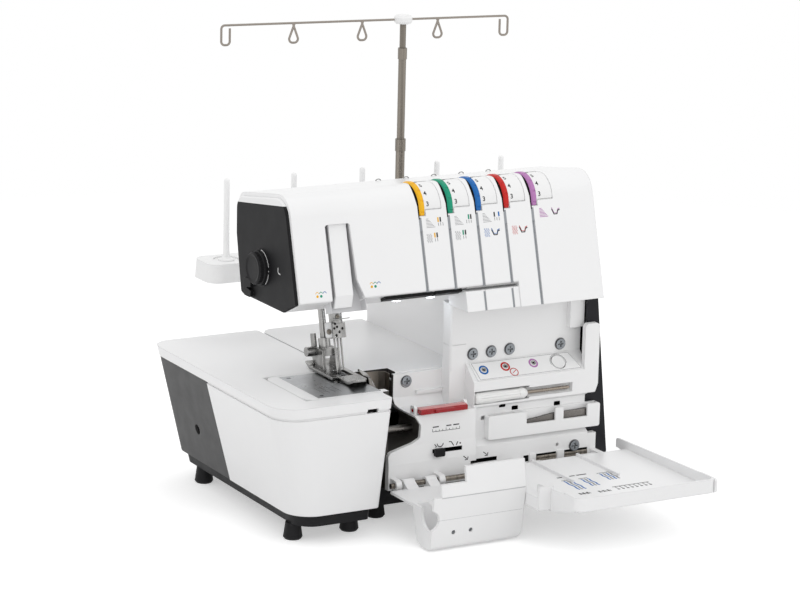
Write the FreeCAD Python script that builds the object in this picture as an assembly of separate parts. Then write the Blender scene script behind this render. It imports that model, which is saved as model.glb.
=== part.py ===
import FreeCAD
import Part
import math
import os

V = FreeCAD.Vector

# Serger overlock machine in millimetres: X to the operator's right, Y to the back, Z up.
# Places are measured from the front left foot on the table top, and the finished pieces are
# moved so that the middle of the footprint is the origin. The front cover is swung open.

# Clearances
fit_gap = 0.2            # between pieces screwed or clipped together
seat_gap = 0.02          # radial, for a round piece held fast in its bore
run_gap = 0.05           # radial, for a shaft in a bore
slide_gap = 0.5          # between mouldings that slide past each other
work_gap = 0.8           # round small pieces that move in a slot

# Base
foot_height = 16.0
foot_radius = 9.0
base_top = 32.0
base_wall = 3.0
base_front = 12.0
base_right = 336.0
foot_inset = 18.0

# Bed and free arm
bed_z = 133.0
bed_thickness = 8.0
bed_front = 45.0
bed_left = 86.0
arm_left = 8.0
arm_right = 92.0
arm_front = -12.0
arm_back = 76.0
arm_floor = 72.0
arm_wall = 3.0
arm_corner = 12.0

# Needle plate and feed dogs
plate_left = 22.0
plate_front = -8.0
plate_width = 64.0
plate_depth = 80.0
plate_thickness = 2.0
plate_ledge = 4.0
bay_right = 130.0
bay_back = 60.0
dog_width = 3.0
dog_pitch = 5.0
dog_front = 34.0
dog_length = 28.0
dog_tooth = 2.0
dog_stroke = 2.0
dog_proud = 0.8
feed_rod_radius = 2.5

# Main housing and column
column_left = 200.0
body_right = 322.0
body_back = 240.0
deck_z = 196.0
housing_wall = 3.0
housing_corner = 14.0

# Head
head_left = 3.0
head_lip_y = -6.0
head_lip_z = 221.0
head_lean = 15.4
head_floor = 207.0
head_floor_front = 24.0
head_back = 120.0
head_back_z = 262.0
head_chamfer_y = 109.0
head_ridge_y = 35.0
head_ridge_z = 314.0
head_top_fall = 9.0
head_nose_radius = 23.0
head_back_radius = 14.0
head_wall = 3.0
head_rim = 3.5
block_left = 174.0
block_right = 231.0
block_drop = 4.5
skirt_z = 198.0

# Tension dials
dial_count = 5
dial_first = 134.0
dial_pitch = 30.0
dial_rim_width = 6.0
dial_drum_width = 17.0
dial_proud = 1.4
dial_gap = 0.4
dial_notches = 14
dial_axle_radius = 4.0
thread_slot_width = 2.2
thread_slot_depth = 2.0

# Take-up slot
take_up_left = 36.0
take_up_width = 25.0
take_up_top = 287.0
take_up_flare = 9.0
take_up_strip = 2.5

# Lamps and thread guide bars under the lip
lamp_xs = (121.0, 157.0)
lamp_radius = 6.0
guide_bar_spans = ((91.0, 141.0), (144.0, 172.0), (176.0, 230.0))
guide_bar_width = 9.0
guide_bar_thickness = 3.0

# Pressure knob and thread cutter on the end cap
cap_crown = 2.5
knob_y = 67.0
knob_z = 240.0
knob_radius = 16.0
knob_ring = 1.5
knob_depth = 8.0
knob_stem_radius = 5.0
knob_flutes = 18
cutter_y = 82.0
cutter_z = 209.0
cutter_width = 14.0
cutter_height = 17.0
cutter_depth = 6.0

# Needle bar and presser bar, parallel and leaning back
bar_lean = 14.5
needle_x = 76.0
needle_y = 50.0
needle_bar_radius = 3.6
needle_bar_top = 150.0
needle_length = 34.0
needle_radius = 0.9
needle_pitch = 3.4
needle_count = 3
clamp_height = 18.0
clamp_screw = 1.3
presser_x = 74.0
presser_y = 74.0
presser_bar_radius = 3.4
presser_bar_top = 136.0
foot_sole_lift = 1.4
foot_sole_thickness = 2.4
foot_left = 60.0
foot_width = 28.0
foot_front = 8.0
foot_length = 84.0
needle_room = 3.6
ankle_low = 14.0
ankle_high = 22.0
lifter_x = 48.0
lifter_y = 103.0
lifter_z = 240.0
lifter_pin_radius = 3.0

# Extension table
table_left = -31.0
table_right = 84.0
table_front = -36.0
table_back = 241.0
table_bottom = 28.0
table_wall = 3.0
table_slab = 10.0
table_corner = 26.0
table_rear_corner = 20.0
table_lean_left = 22.0
table_lean_front = 9.0
table_lean_back = 8.0
table_lean_right = 7.0
table_panel_front = 120.0
table_panel_slant = 12.0
table_panel_sink = 0.8
table_hole_y = 166.0
table_hole_z = 63.0
table_latch_left = 58.0
table_latch_width = 11.0
table_foot_spots = ((4.0, 4.0), (6.0, 196.0), (62.0, 4.0))

# Front cover, lying open on its hinge
hinge_y = -5.0
hinge_z = 39.0
hinge_rod_radius = 2.5
hinge_eye_radius = 5.0
hinge_left = 104.0
hinge_right = 332.0
hinge_lug_width = 6.0
cover_left = 95.0
cover_split = 191.5
cover_step = 204.0
cover_right = 355.5
cover_reach = 157.0
cover_step_reach = 112.0
cover_start = 9.0
cover_heel = 9.0
cover_skin = 2.5
cover_rim = 13.0
cover_corner = 8.0
tray_level = 5.0
low_level = -4.0
nose_root = 50.0
nose_clear = 1.5
nose_skin = 3.0
nose_seam = 0.5
nose_fold_reach = 90.0
nose_fold_level = 14.0
nose_flap_reach = 86.0
nose_flap_level = 39.0
nose_flap_left = 103.0
nose_ear_right = 129.0
nose_ear_level = 25.0
nose_corner = 9.0
eye_spans = ((112.0, 124.0), (136.0, 147.0), (207.0, 217.0), (226.0, 237.0), (250.0, 262.0), (308.0, 323.0))

# Front chassis and its controls
chassis_left = 102.0
chassis_split = 195.0
chassis_right = 321.8
chassis_back = 32.0
module_top_left = 126.0
module_left = 137.0
pillar_left = 178.0
pillar_back = 46.0
pillar_seam_z = 157.0
lip_thickness = 4.0
wall_y = 26.0
port_back_z = 139.0
port_front_z = 123.0
port_front_y = 9.0
face_y = 14.0
face_top = 97.0
sill_y = 7.0
sill_z = 62.0
module_y = 6.0
module_foot_y = 3.0
lever_z = 101.0
lever_left = 135.0
lever_right = 185.0
lever_pin_y = 13.0
lever_pin_radius = 2.0
slot_one = (149.0, 181.0, 62.0)
slot_two = (190.0, 221.0, 46.0)
slot_height = 4.0
button_x = 292.0
button_radius = 7.0
port_holes = ((210.0, 1.0), (234.0, 2.0), (241.0, -5.0), (265.0, 2.0))
screw_radius = 5.0
screw_row = ((202.4, 147.1), (222.6, 147.4), (242.9, 147.7), (299.2, 146.8))
low_screw = (307.0, 50.0)
low_hole = (288.0, 53.0)
notch_spots = ((226.0, 95.0), (240.0, 91.0), (287.0, 90.0), (206.5, 85.0))
latch_left = 317.0
latch_right = 333.0
latch_low = 100.0
latch_high = 168.0
step_left = 306.0
step_z = 163.0
tray_left = 210.0
tray_right = 334.0
tray_low = 67.0
tray_high = 90.0
tray_lip = 78.0
tray_front = 5.5
tray_wall = 2.2
tray_post = 284.0
driver_z = 107.5
driver_left = 197.0
driver_handle = 57.0
driver_right = 301.0
driver_radius = 5.6
driver_flutes = 8

# Right side cover and its controls
side_front = 15.0
side_bottom_right = 350.0
side_top_right = 333.0
side_top = 196.0
side_wall = 3.0
small_dial_radius = 14.0
small_dial_depth = 10.0
small_dial_z = 62.0
stitch_dial_y = 52.0
feed_dial_y = 92.0
recess_floor = 337.0
switch_y = 190.0
switch_z = 98.0
switch_pin_radius = 3.0
inlet_z = 62.0

# Drive
shaft_y = 105.0
shaft_z = 118.0
shaft_radius = 6.0
wheel_radius = 36.0
wheel_left = 353.0
wheel_width = 18.0
wheel_grips = 16
pulley_radius = 30.0
pulley_teeth = 30
motor_y = 150.0
motor_z = 70.0
motor_radius = 26.0
motor_length = 56.0
motor_left = 224.0
motor_pulley_radius = 10.0
motor_pulley_teeth = 10
motor_shaft_radius = 3.0
pulley_left = 301.0
pulley_width = 11.0
tooth_depth = 0.9
belt_thickness = 2.0
belt_gap = 0.3
bush_radius = 10.0
web_width = 14.0
web_left = 206.0
web_right = 284.0
lug_low = 228.0
lug_high = 252.0
lug_width = 32.0

# Knives and loopers
knife_front = 20.0
knife_depth = 15.0
knife_pivot_y = 24.0
knife_pivot_z = 84.0
knife_shaft_radius = 3.5
knife_shaft_end = 150.0
looper_y = 46.0
looper_shaft_radius = 3.0
upper_looper_x = 118.0
upper_looper_z = 90.0
lower_looper_x = 106.0
lower_looper_z = 84.0

# Spool stand, thread pole and thread guide
stand_left = 10.0
stand_right = 368.0
stand_front = 192.0
stand_back = 238.0
stand_top = 214.0
stand_wall = 3.0
stand_corner = 13.0
stand_taper = 1.5
pin_y = 215.0
pin_xs = (37.0, 109.0, 184.0, 268.0, 342.0)
pin_height = 80.0
pin_radius = 2.8
pin_foot = 12.0
pin_tip = 6.0
pin_sink = 1.0
pole_x = 226.0
pole_radius = 4.5
pole_wall = 0.65
pole_lower_length = 120.0
pole_mid_length = 90.0
pole_top_length = 26.0
pole_overlap = 20.0
hub_radius = 9.0
hub_height = 8.0
guide_turn = -7.5
guide_left_reach = 177.0
guide_right_reach = 102.0
guide_loop_reaches = (-113.0, -42.6, 36.4)
guide_loop_drop = 19.0
guide_loop_width = 9.0
guide_hook_reach = 9.0
guide_hook_drop = 19.0
wire_radius = 1.1

# Places that follow from the sizes above
footprint_mid_x = (table_left + wheel_left + wheel_width) / 2
footprint_mid_y = (hinge_y - cover_reach + table_back) / 2
under = bed_z - bed_thickness
plate_right = plate_left + plate_width
plate_back = plate_front + plate_depth
dog_xs = (needle_x - 9.0 - dog_pitch, needle_x - 9.0)
dial_width = dial_rim_width + dial_drum_width
clamp_low = needle_length + 2.0
needle_bar_low = clamp_low + clamp_height - 4.0
lug_left = needle_x - lug_width / 2
needle_half = needle_pitch * (needle_count - 1) / 2
lip_front = bed_front - lip_thickness
pan_floor = foot_height + base_wall
pole_base = deck_z + 2.0
pole_lower_top = pole_base + pole_lower_length
pole_mid_top = pole_lower_top + pole_mid_length
pole_top_z = pole_mid_top + pole_top_length
guide_z = pole_top_z + 2.0
mid_radius = pole_radius - pole_wall - run_gap
tip_radius = mid_radius - pole_wall - run_gap
lean = math.tan(math.radians(head_lean))
fall = math.tan(math.radians(head_top_fall))
bar_dir = V(0, math.sin(math.radians(bar_lean)), math.cos(math.radians(bar_lean)))


def at(axis, a, b, depth):
    if axis == "x":
        return V(depth, a, b)
    if axis == "y":
        return V(a, depth, b)
    return V(a, b, depth)


def corner_arc(before, here, after, radius):
    # Start, bulge and end of a rounded corner, and the centre of the rounding.
    u = (before - here).normalize()
    w = (after - here).normalize()
    half = u.getAngle(w) / 2
    centre = here + (u + w).normalize() * (radius / math.sin(half))
    start = here + u * (radius / math.tan(half))
    end = here + w * (radius / math.tan(half))
    middle = centre + (here - centre).normalize() * radius
    return start, middle, end, centre


def outline(points, axis, depth, radii=0.0):
    corners = [at(axis, a, b, depth) for a, b in points]
    count = len(corners)
    if not isinstance(radii, list):
        radii = [radii] * count
    spans = []
    for i, here in enumerate(corners):
        if radii[i] > 0:
            spans.append(corner_arc(corners[i - 1], here, corners[(i + 1) % count], radii[i])[:3])
        else:
            spans.append((here, None, here))
    edges = []
    for i, (start, middle, end) in enumerate(spans):
        if middle is not None:
            edges.append(Part.Arc(start, middle, end).toShape())
        following = spans[(i + 1) % count][0]
        if end.distanceToPoint(following) > 1e-6:
            edges.append(Part.makeLine(end, following))
    return Part.Wire(edges)


def prism(points, axis, low, high, radii=0.0):
    return Part.Face(outline(points, axis, low, radii)).extrude(at(axis, 0, 0, high - low))


def box(x0, x1, y0, y1, z0, z1):
    return Part.makeBox(x1 - x0, y1 - y0, z1 - z0, V(x0, y0, z0))


def rect(a0, a1, b0, b1):
    return [(a0, b0), (a1, b0), (a1, b1), (a0, b1)]


def rod(radius, start, end):
    return Part.makeCylinder(radius, (end - start).Length, start, end - start)


def rod_x(radius, x0, x1, y, z):
    return rod(radius, V(x0, y, z), V(x1, y, z))


def rod_y(radius, x, y0, y1, z):
    return rod(radius, V(x, y0, z), V(x, y1, z))


def rod_z(radius, x, y, z0, z1):
    return rod(radius, V(x, y, z0), V(x, y, z1))


def turned_x(profile, y, z, radii=0.0):
    # A profile of (x, radius) points spun round an axis along X.
    wire = outline([(x, z + r) for x, r in profile], "y", y, radii)
    return Part.Face(wire).revolve(V(0, y, z), V(1, 0, 0), 360)


def turned_z(profile, x, y, radii=0.0):
    # A profile of (radius, z) points spun round an upright axis.
    wire = outline([(x + r, z) for r, z in profile], "y", y, radii)
    return Part.Face(wire).revolve(V(x, y, 0), V(0, 0, 1), 360)


def joined(first, others):
    return first.fuse(others).removeSplitter()


def group(solids):
    return Part.makeCompound(solids)


# Base

def base_pan():
    w = base_wall
    pan = prism(rect(bed_left, base_right, base_front, body_back), "z", foot_height, base_top, housing_corner)
    inner = rect(bed_left + w, base_right - w, base_front + w, body_back - w)
    pan = pan.cut(prism(inner, "z", pan_floor, base_top + 1, housing_corner - w))
    vent_width = 4.0
    vent_length = 46.0
    vents = []
    for i in range(6):
        x = motor_left + 10 * i
        slot = rect(x, x + vent_width, motor_y + 8, motor_y + 8 + vent_length)
        vents.append(prism(slot, "z", foot_height - 1, pan_floor + 1, vent_width / 2 - 0.1))
    return pan.cut(vents)


def foot(x, y, top):
    profile = [(0, 0), (foot_radius - 1.5, 0), (foot_radius, 2.0), (foot_radius - 2, top), (0, top)]
    return turned_z(profile, x, y)


def base_feet():
    xs = (bed_left + foot_inset, base_right - foot_inset)
    ys = (base_front + foot_inset, body_back - foot_inset)
    return group([foot(x, y, foot_height) for x in xs for y in ys])


# Bed, free arm, needle plate and feed dogs

dog_low = bed_z - plate_thickness - 5.0
carrier_height = 9.0
feed_rod_x = plate_left + 26.0
feed_rod_z = dog_low - carrier_height / 2


def bed_and_arm():
    bed = [(arm_left, arm_front), (arm_right, arm_front), (arm_right, bed_front), (column_left, bed_front),
           (column_left, body_back), (bed_left, body_back), (bed_left, arm_back), (arm_left, arm_back)]
    slab = prism(bed, "z", under, bed_z, [arm_corner, 0, 3, 0, 0, housing_corner, 0, arm_corner])
    arm = prism(rect(arm_left, arm_right, arm_front, arm_back), "z", arm_floor, under, [arm_corner, 0, 0, arm_corner])
    hollow = box(arm_left + arm_wall, arm_right + 1, arm_front + arm_wall, arm_back - arm_wall,
                 arm_floor + arm_wall, under)
    seat = box(plate_left - fit_gap, plate_right + fit_gap, plate_front - fit_gap, plate_back + fit_gap,
               bed_z - plate_thickness, bed_z + 1)
    well = box(plate_left + plate_ledge, arm_right + 1, plate_front + plate_ledge, plate_back - plate_ledge,
               under - 1, bed_z)
    bay = box(plate_right + fit_gap, bay_right, plate_front + 2 * plate_ledge, bay_back, under - 1, bed_z + 1)
    feed_rod = rod_y(feed_rod_radius, feed_rod_x, arm_front + 1, arm_back - 1, feed_rod_z)
    return joined(slab.cut([seat, well, bay]), [arm.cut(hollow), feed_rod])


def needle_plate():
    plate = prism(rect(plate_left, plate_right, plate_front, plate_back), "z", bed_z - plate_thickness, bed_z, 3)
    cuts = []
    for x in dog_xs:
        cuts.append(box(x - work_gap, x + dog_width + work_gap, dog_front - dog_stroke - work_gap,
                        dog_front + dog_length + dog_stroke + work_gap, under, bed_z + 1))
    half = needle_half + 2 * needle_radius
    cuts.append(box(needle_x - half, needle_x + half, needle_y - 6, needle_y + 6, under, bed_z + 1))
    cuts.append(box(plate_right - 3, plate_right + 1, needle_y - 10, needle_y + 14, under, bed_z + 1))
    for x, y in ((plate_left + 7, plate_front + 7), (plate_left + 7, plate_back - 7)):
        cuts.append(rod_z(2.2, x, y, under, bed_z + 1))
    return plate.cut(cuts)


def feed_dogs():
    top = bed_z + dog_proud
    profile = [(dog_front, dog_low), (dog_front + dog_length, dog_low)]
    for i in range(int(dog_length / dog_tooth), 0, -1):
        profile.append((dog_front + i * dog_tooth, top))
        profile.append((dog_front + (i - 1) * dog_tooth, top - 0.9))
    bars = [prism(profile, "x", x, x + dog_width) for x in dog_xs]
    block = rect(dog_front + 2, dog_front + dog_length - 2, dog_low - carrier_height, dog_low)
    carrier = prism(block, "x", feed_rod_x - 6, dog_xs[-1] + dog_width)
    bore = rod_y(feed_rod_radius + run_gap, feed_rod_x, dog_front, dog_front + dog_length, feed_rod_z)
    return joined(carrier, bars).cut(bore)


# Main housing behind the front chassis

def housing_walls(left, front, low, high):
    w = housing_wall
    path = [(left, front), (left, body_back), (body_right, body_back), (body_right, body_back - w),
            (left + w, body_back - w), (left + w, front)]
    return prism(path, "z", low, high, [0, housing_corner, 0, 0, housing_corner - w, 0])


def main_housing():
    w = housing_wall
    wall_front = pillar_back + fit_gap
    lower = housing_walls(bed_left, arm_back + 2, base_top, under)
    column = housing_walls(column_left, wall_front, under, deck_z)
    deck = box(column_left + w, body_right, head_back + 1, body_back - w, deck_z - w, deck_z)
    cheek = box(column_left, column_left + w, wall_front, head_chamfer_y, deck_z, head_floor)
    prop_back = head_back + 4
    prop_top = head_back_z + 7
    prop = [(head_chamfer_y, deck_z - w), (prop_back, deck_z - w), (prop_back, prop_top), (head_back, prop_top),
            (head_back, head_back_z), (head_chamfer_y, head_floor)]
    shell = joined(lower, [column, deck, cheek, prism(prop, "x", column_left, body_right)])
    vents = []
    for i in range(8):
        z = base_top + 18 + 9 * i
        slot = rect(motor_left - 10, motor_left + motor_length + 4, z, z + 4)
        vents.append(prism(slot, "y", body_back - w - 1, body_back + 1, 1.9))
    return shell.cut(vents)


# Head

def front_y(z):
    return head_lip_y + (z - head_lip_z) * lean


def ridge_corner(inset):
    # Where the slanted front and the falling top meet, drawn in by an inset.
    start = head_lip_y + inset / math.cos(math.radians(head_lean))
    top = head_ridge_z - inset / math.cos(math.radians(head_top_fall))
    y = (start + (top + head_ridge_y * fall - head_lip_z) * lean) / (1 + fall * lean)
    return y, top - (y - head_ridge_y) * fall


def back_top(inset):
    return head_ridge_z - inset / math.cos(math.radians(head_top_fall)) - (head_back - head_ridge_y) * fall


def under_lip(share):
    # A place on the slope under the lip, from 0 at the lip to 1 at the floor of the head.
    return (head_lip_y + share * (head_floor_front - head_lip_y), head_lip_z + share * (head_floor - head_lip_z))


head_points = [(head_lip_y, head_lip_z), ridge_corner(0), (head_back, back_top(0)), (head_back, head_back_z),
               (head_chamfer_y, head_floor), (head_floor_front, head_floor)]
head_radii = [2.0, head_nose_radius, head_back_radius, 0.0, 0.0, 0.0]
dial_centre = corner_arc(V(0, *head_points[0]), V(0, *head_points[1]), V(0, *head_points[2]), head_nose_radius)[3]
dial_y = dial_centre.y
dial_z = dial_centre.z
rim_radius = head_nose_radius + dial_proud
drum_radius = head_nose_radius - 0.1


def head_slice(inset, x0, x1):
    face = Part.Face(outline(head_points, "x", x0, head_radii))
    if inset:
        face = face.makeOffset2D(-inset)
    return face.extrude(V(x1 - x0, 0, 0))


def slot_band(x, z_low, z_high):
    # A shallow groove down the slanted front face for one thread.
    d = thread_slot_depth
    band = [(front_y(z_low) - 1, z_low), (front_y(z_low) + d, z_low),
            (front_y(z_high) + d, z_high), (front_y(z_high) - 1, z_high)]
    return prism(band, "x", x - thread_slot_width / 2, x + thread_slot_width / 2)


def take_up_window():
    x0 = take_up_left
    x1 = take_up_left + take_up_width
    low = head_floor - 1
    window = [(x0, low), (x1 + take_up_flare, low), (x1 + take_up_flare, head_lip_z - 2),
              (x1 + 2, head_lip_z + 16), (x1, take_up_top), (x0, take_up_top)]
    return prism(window, "y", front_y(low) - 10, head_floor_front - 3, [0, 0, 0, 12, 2, 2])


def dial_left(i):
    return dial_first + i * dial_pitch


bulkhead_left = dial_first - 6.0
bulkhead_right = dial_left(dial_count - 1) + dial_width + 3.0
bulkhead_wall = 3.0


def front_skirt():
    # The front carries on below the lip on the right, over a stepped block that clears the lip.
    over = head_lip_z + 9
    skirt = [(front_y(over), over), (front_y(skirt_z), skirt_z), (head_floor_front, skirt_z),
             (head_floor_front, head_floor + 1), (front_y(over) + 6, over)]
    skirt = prism(skirt, "x", block_right, body_right)
    top = head_lip_z - block_drop
    block = [(front_y(top) + 1, top), (front_y(skirt_z) + 1, skirt_z), (head_floor_front, skirt_z),
             (head_floor_front, head_floor), under_lip(block_drop / (head_lip_z - head_floor))]
    return [skirt, prism(block, "x", block_left, block_right)]


def head_shell():
    shell = joined(head_slice(0, head_left, body_right), front_skirt())
    hollow = head_slice(head_wall, head_left + 8, body_right - head_wall)
    pocket = head_slice(head_rim, head_left - 1, head_left + 9)
    shell = shell.cut([hollow, pocket, take_up_window()])
    walls = []
    for x in (bulkhead_left, bulkhead_right):
        plate = box(x, x + bulkhead_wall, 0, dial_y + 22, dial_z - 26, head_ridge_z + 10)
        walls.append(plate.common(head_slice(head_wall - 0.5, x, x + bulkhead_wall)))
    shell = joined(shell, walls)
    cuts = [rod_x(dial_axle_radius + seat_gap, bulkhead_left - 1, bulkhead_right + 4, dial_y, dial_z)]
    for i in range(dial_count):
        x = dial_left(i)
        cuts.append(rod_x(rim_radius + dial_gap, x - dial_gap, x + dial_rim_width + dial_gap, dial_y, dial_z))
        cuts.append(rod_x(drum_radius + dial_gap, x, x + dial_width + dial_gap, dial_y, dial_z))
        low = skirt_z - 1 if x > block_left else head_lip_z - 3
        cuts.append(slot_band(x, low, dial_z - 16))
    cuts.append(box(needle_x - 24, needle_x + 18, head_floor_front + 6, head_chamfer_y - 4, skirt_z, head_floor + 5))
    cuts.append(box(column_left + 5, body_right - 6, head_floor_front + 10, head_chamfer_y - 4,
                    skirt_z, head_floor + 5))
    cuts.append(box(lifter_x - 5, lifter_x + 5, head_chamfer_y - 2, head_back + 2, lifter_z - 12, lifter_z + 13))
    return shell.cut(cuts)


def cap_face():
    # The dark end plate leaves the white rim showing along the front and the top only.
    share = head_rim / math.cos(math.radians(head_lean))
    share /= head_floor_front - head_lip_y + (head_lip_z - head_floor) * lean
    points = [under_lip(share), ridge_corner(head_rim), (head_back, back_top(head_rim)), (head_back, head_back_z),
              (head_chamfer_y, head_floor), (head_floor_front, head_floor)]
    radii = [2.0, head_nose_radius - head_rim, head_back_radius - 1, 8.0, 5.0, 5.0]
    return Part.Face(outline(points, "x", head_left, radii))


def head_end_cap():
    edge = 1.0
    plate = cap_face().extrude(V(-edge, 0, 0))
    rim = cap_face().OuterWire
    rim.translate(V(-edge, 0, 0))
    crown = cap_face().makeOffset2D(-1.5).OuterWire
    crown.translate(V(-cap_crown, 0, 0))
    plug = head_slice(head_rim + fit_gap, head_left, head_left + 7)
    ring = rod_x(knob_radius + knob_ring, head_left - cap_crown - 1, head_left, knob_y, knob_z)
    block = rect(cutter_y, cutter_y + cutter_width, cutter_z, cutter_z + cutter_height)
    cutter = prism(block, "x", head_left - cutter_depth, head_left, 2.5)
    slit_z = cutter_z + 6
    slit = prism([(cutter_y - 1, slit_z), (cutter_y + 9, slit_z + 2), (cutter_y - 1, slit_z + 4)], "x",
                 head_left - cutter_depth - 1, head_left - cap_crown)
    cap = joined(plate, [Part.makeLoft([rim, crown], True, True), plug, ring, cutter.cut(slit)])
    return cap.cut(rod_x(knob_stem_radius + run_gap, head_left - 10, head_left + 10, knob_y, knob_z))


def pressure_knob():
    base = head_left - cap_crown - 1.4
    tip = base - knob_depth
    r = knob_radius
    profile = [(base + 9, 0), (base + 9, knob_stem_radius), (base, knob_stem_radius), (base, r), (base - 2.5, r),
               (base - 3, r - 1), (tip + 1.5, r - 1), (tip, r - 2.5), (tip + 0.8, r - 5), (tip + 0.8, 0)]
    knob = turned_x(profile, knob_y, knob_z)
    flutes = []
    for i in range(knob_flutes):
        angle = 2 * math.pi * i / knob_flutes
        y = knob_y + (r - 0.4) * math.cos(angle)
        z = knob_z + (r - 0.4) * math.sin(angle)
        flutes.append(rod_x(1.0, tip - 1, base - 3, y, z))
    return knob.cut(flutes)


def take_up_cover():
    lead = head_wall / math.cos(math.radians(head_lean)) + fit_gap
    low = head_floor + 5
    knee = low + 12
    high = take_up_top + 5
    t = take_up_strip
    strip = [(front_y(low) + lead + 6, low), (front_y(knee) + lead, knee), (front_y(high) + lead, high),
             (front_y(high) + lead + t, high), (front_y(knee) + lead + t, knee), (front_y(low) + lead + 6 + t, low)]
    strip = prism(strip, "x", take_up_left + 5, take_up_left + take_up_width - 2)
    tab_low = high - 4
    tab = prism([(front_y(tab_low) + lead, tab_low), (front_y(high) + lead, high), (front_y(high) + lead + t, high),
                 (front_y(tab_low) + lead + t, tab_low)], "x", take_up_left - 4, take_up_left + take_up_width + 4)
    return joined(strip, [tab])


def needle_thread_guide():
    run_y = head_floor_front - head_lip_y
    run_z = head_floor - head_lip_z
    length = math.hypot(run_y, run_z)
    out = (run_z / length, -run_y / length)
    bars = []
    for x0, x1 in guide_bar_spans:
        narrow = x0 > block_left
        width = 5.0 if narrow else guide_bar_width
        start = 1.0 if narrow else 4.0
        t = 1.2 if narrow else guide_bar_thickness
        a = under_lip(start / length)
        b = under_lip((start + width) / length)
        band = [a, b, (b[0] + t * out[0], b[1] + t * out[1]), (a[0] + t * out[0], a[1] + t * out[1])]
        bars.append(prism(band, "x", x0, x1))
    return group(bars)


def lamp_lenses():
    r = lamp_radius
    lens = [(0, head_floor), (r, head_floor), (r - 0.8, head_floor - 1.6), (0, head_floor - 2.2)]
    return group([turned_z(lens, x, head_floor_front + r + 2) for x in lamp_xs])


def dial_axle():
    return rod_x(dial_axle_radius, bulkhead_left, bulkhead_right + bulkhead_wall, dial_y, dial_z)


def tension_dial(i):
    x = dial_left(i)
    bore = dial_axle_radius + run_gap
    split = x + dial_rim_width
    profile = [(x, bore), (x, rim_radius - 1.5), (x + 1.5, rim_radius), (split - 1, rim_radius),
               (split, drum_radius), (x + dial_width, drum_radius), (x + dial_width, bore)]
    dial = turned_x(profile, dial_y, dial_z)
    notches = []
    for k in range(dial_notches):
        angle = 2 * math.pi * k / dial_notches
        y = dial_y + (rim_radius + 0.4) * math.cos(angle)
        z = dial_z + (rim_radius + 0.4) * math.sin(angle)
        notches.append(rod_x(1.0, x - 1, split - 1.2, y, z))
    return dial.cut(notches)


# Needle bar, presser and foot lifter

def on_needle_axis(s, dx=0.0):
    return V(needle_x + dx, needle_y, bed_z) + bar_dir * s


def on_presser_axis(s):
    return V(presser_x, presser_y, bed_z) + bar_dir * s


def leaning_block(x0, x1, y0, y1, s0, s1, origin):
    # A box whose length runs along the leaning bars.
    block = box(x0, x1, y0, y1, s0, s1)
    block.rotate(V(0, 0, 0), V(1, 0, 0), -bar_lean)
    block.translate(origin)
    return block


def needle_bar():
    return rod(needle_bar_radius, on_needle_axis(needle_bar_low), on_needle_axis(needle_bar_top))


def needle_clamp():
    o = V(needle_x, needle_y, bed_z)
    top = clamp_low + clamp_height
    block = leaning_block(-needle_half - 3.2, needle_half + 3.2, -5.5, 5.5, clamp_low, needle_bar_low, o)
    collar = rod(6.2, on_needle_axis(needle_bar_low), on_needle_axis(top + 5))
    collar = collar.cut(rod(needle_bar_radius + seat_gap, on_needle_axis(needle_bar_low), on_needle_axis(needle_bar_top)))
    guide = leaning_block(-needle_half - 6, needle_half + 8, -6.9, -5.9, top - 1, top, o)
    arm = leaning_block(-2, 2, -6.4, -4, top - 1, top, o)
    clamp = joined(block, [collar, guide, arm])
    cuts = []
    for k in range(needle_count):
        dx = -needle_half + k * needle_pitch
        cuts.append(rod(needle_radius + seat_gap, on_needle_axis(0, dx), on_needle_axis(clamp_low + 8, dx)))
        face = on_needle_axis(clamp_low + 4 + 3 * k, dx)
        cuts.append(rod(clamp_screw, face + V(0, -8, 0), face + V(0, -4.2, 0)))
    return clamp.cut(cuts)


def needles():
    solids = []
    for k in range(needle_count):
        dx = -needle_half + k * needle_pitch
        low = 1.0 + 2.0 * k
        shank = rod(needle_radius, on_needle_axis(low + 6, dx), on_needle_axis(clamp_low + 8, dx))
        tip = Part.makeCone(0.15, needle_radius, 6, on_needle_axis(low, dx), bar_dir)
        solids.append(shank.fuse(tip))
    return group(solids)


def presser_bar():
    return rod(presser_bar_radius, on_presser_axis(ankle_high), on_presser_axis(presser_bar_top))


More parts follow.
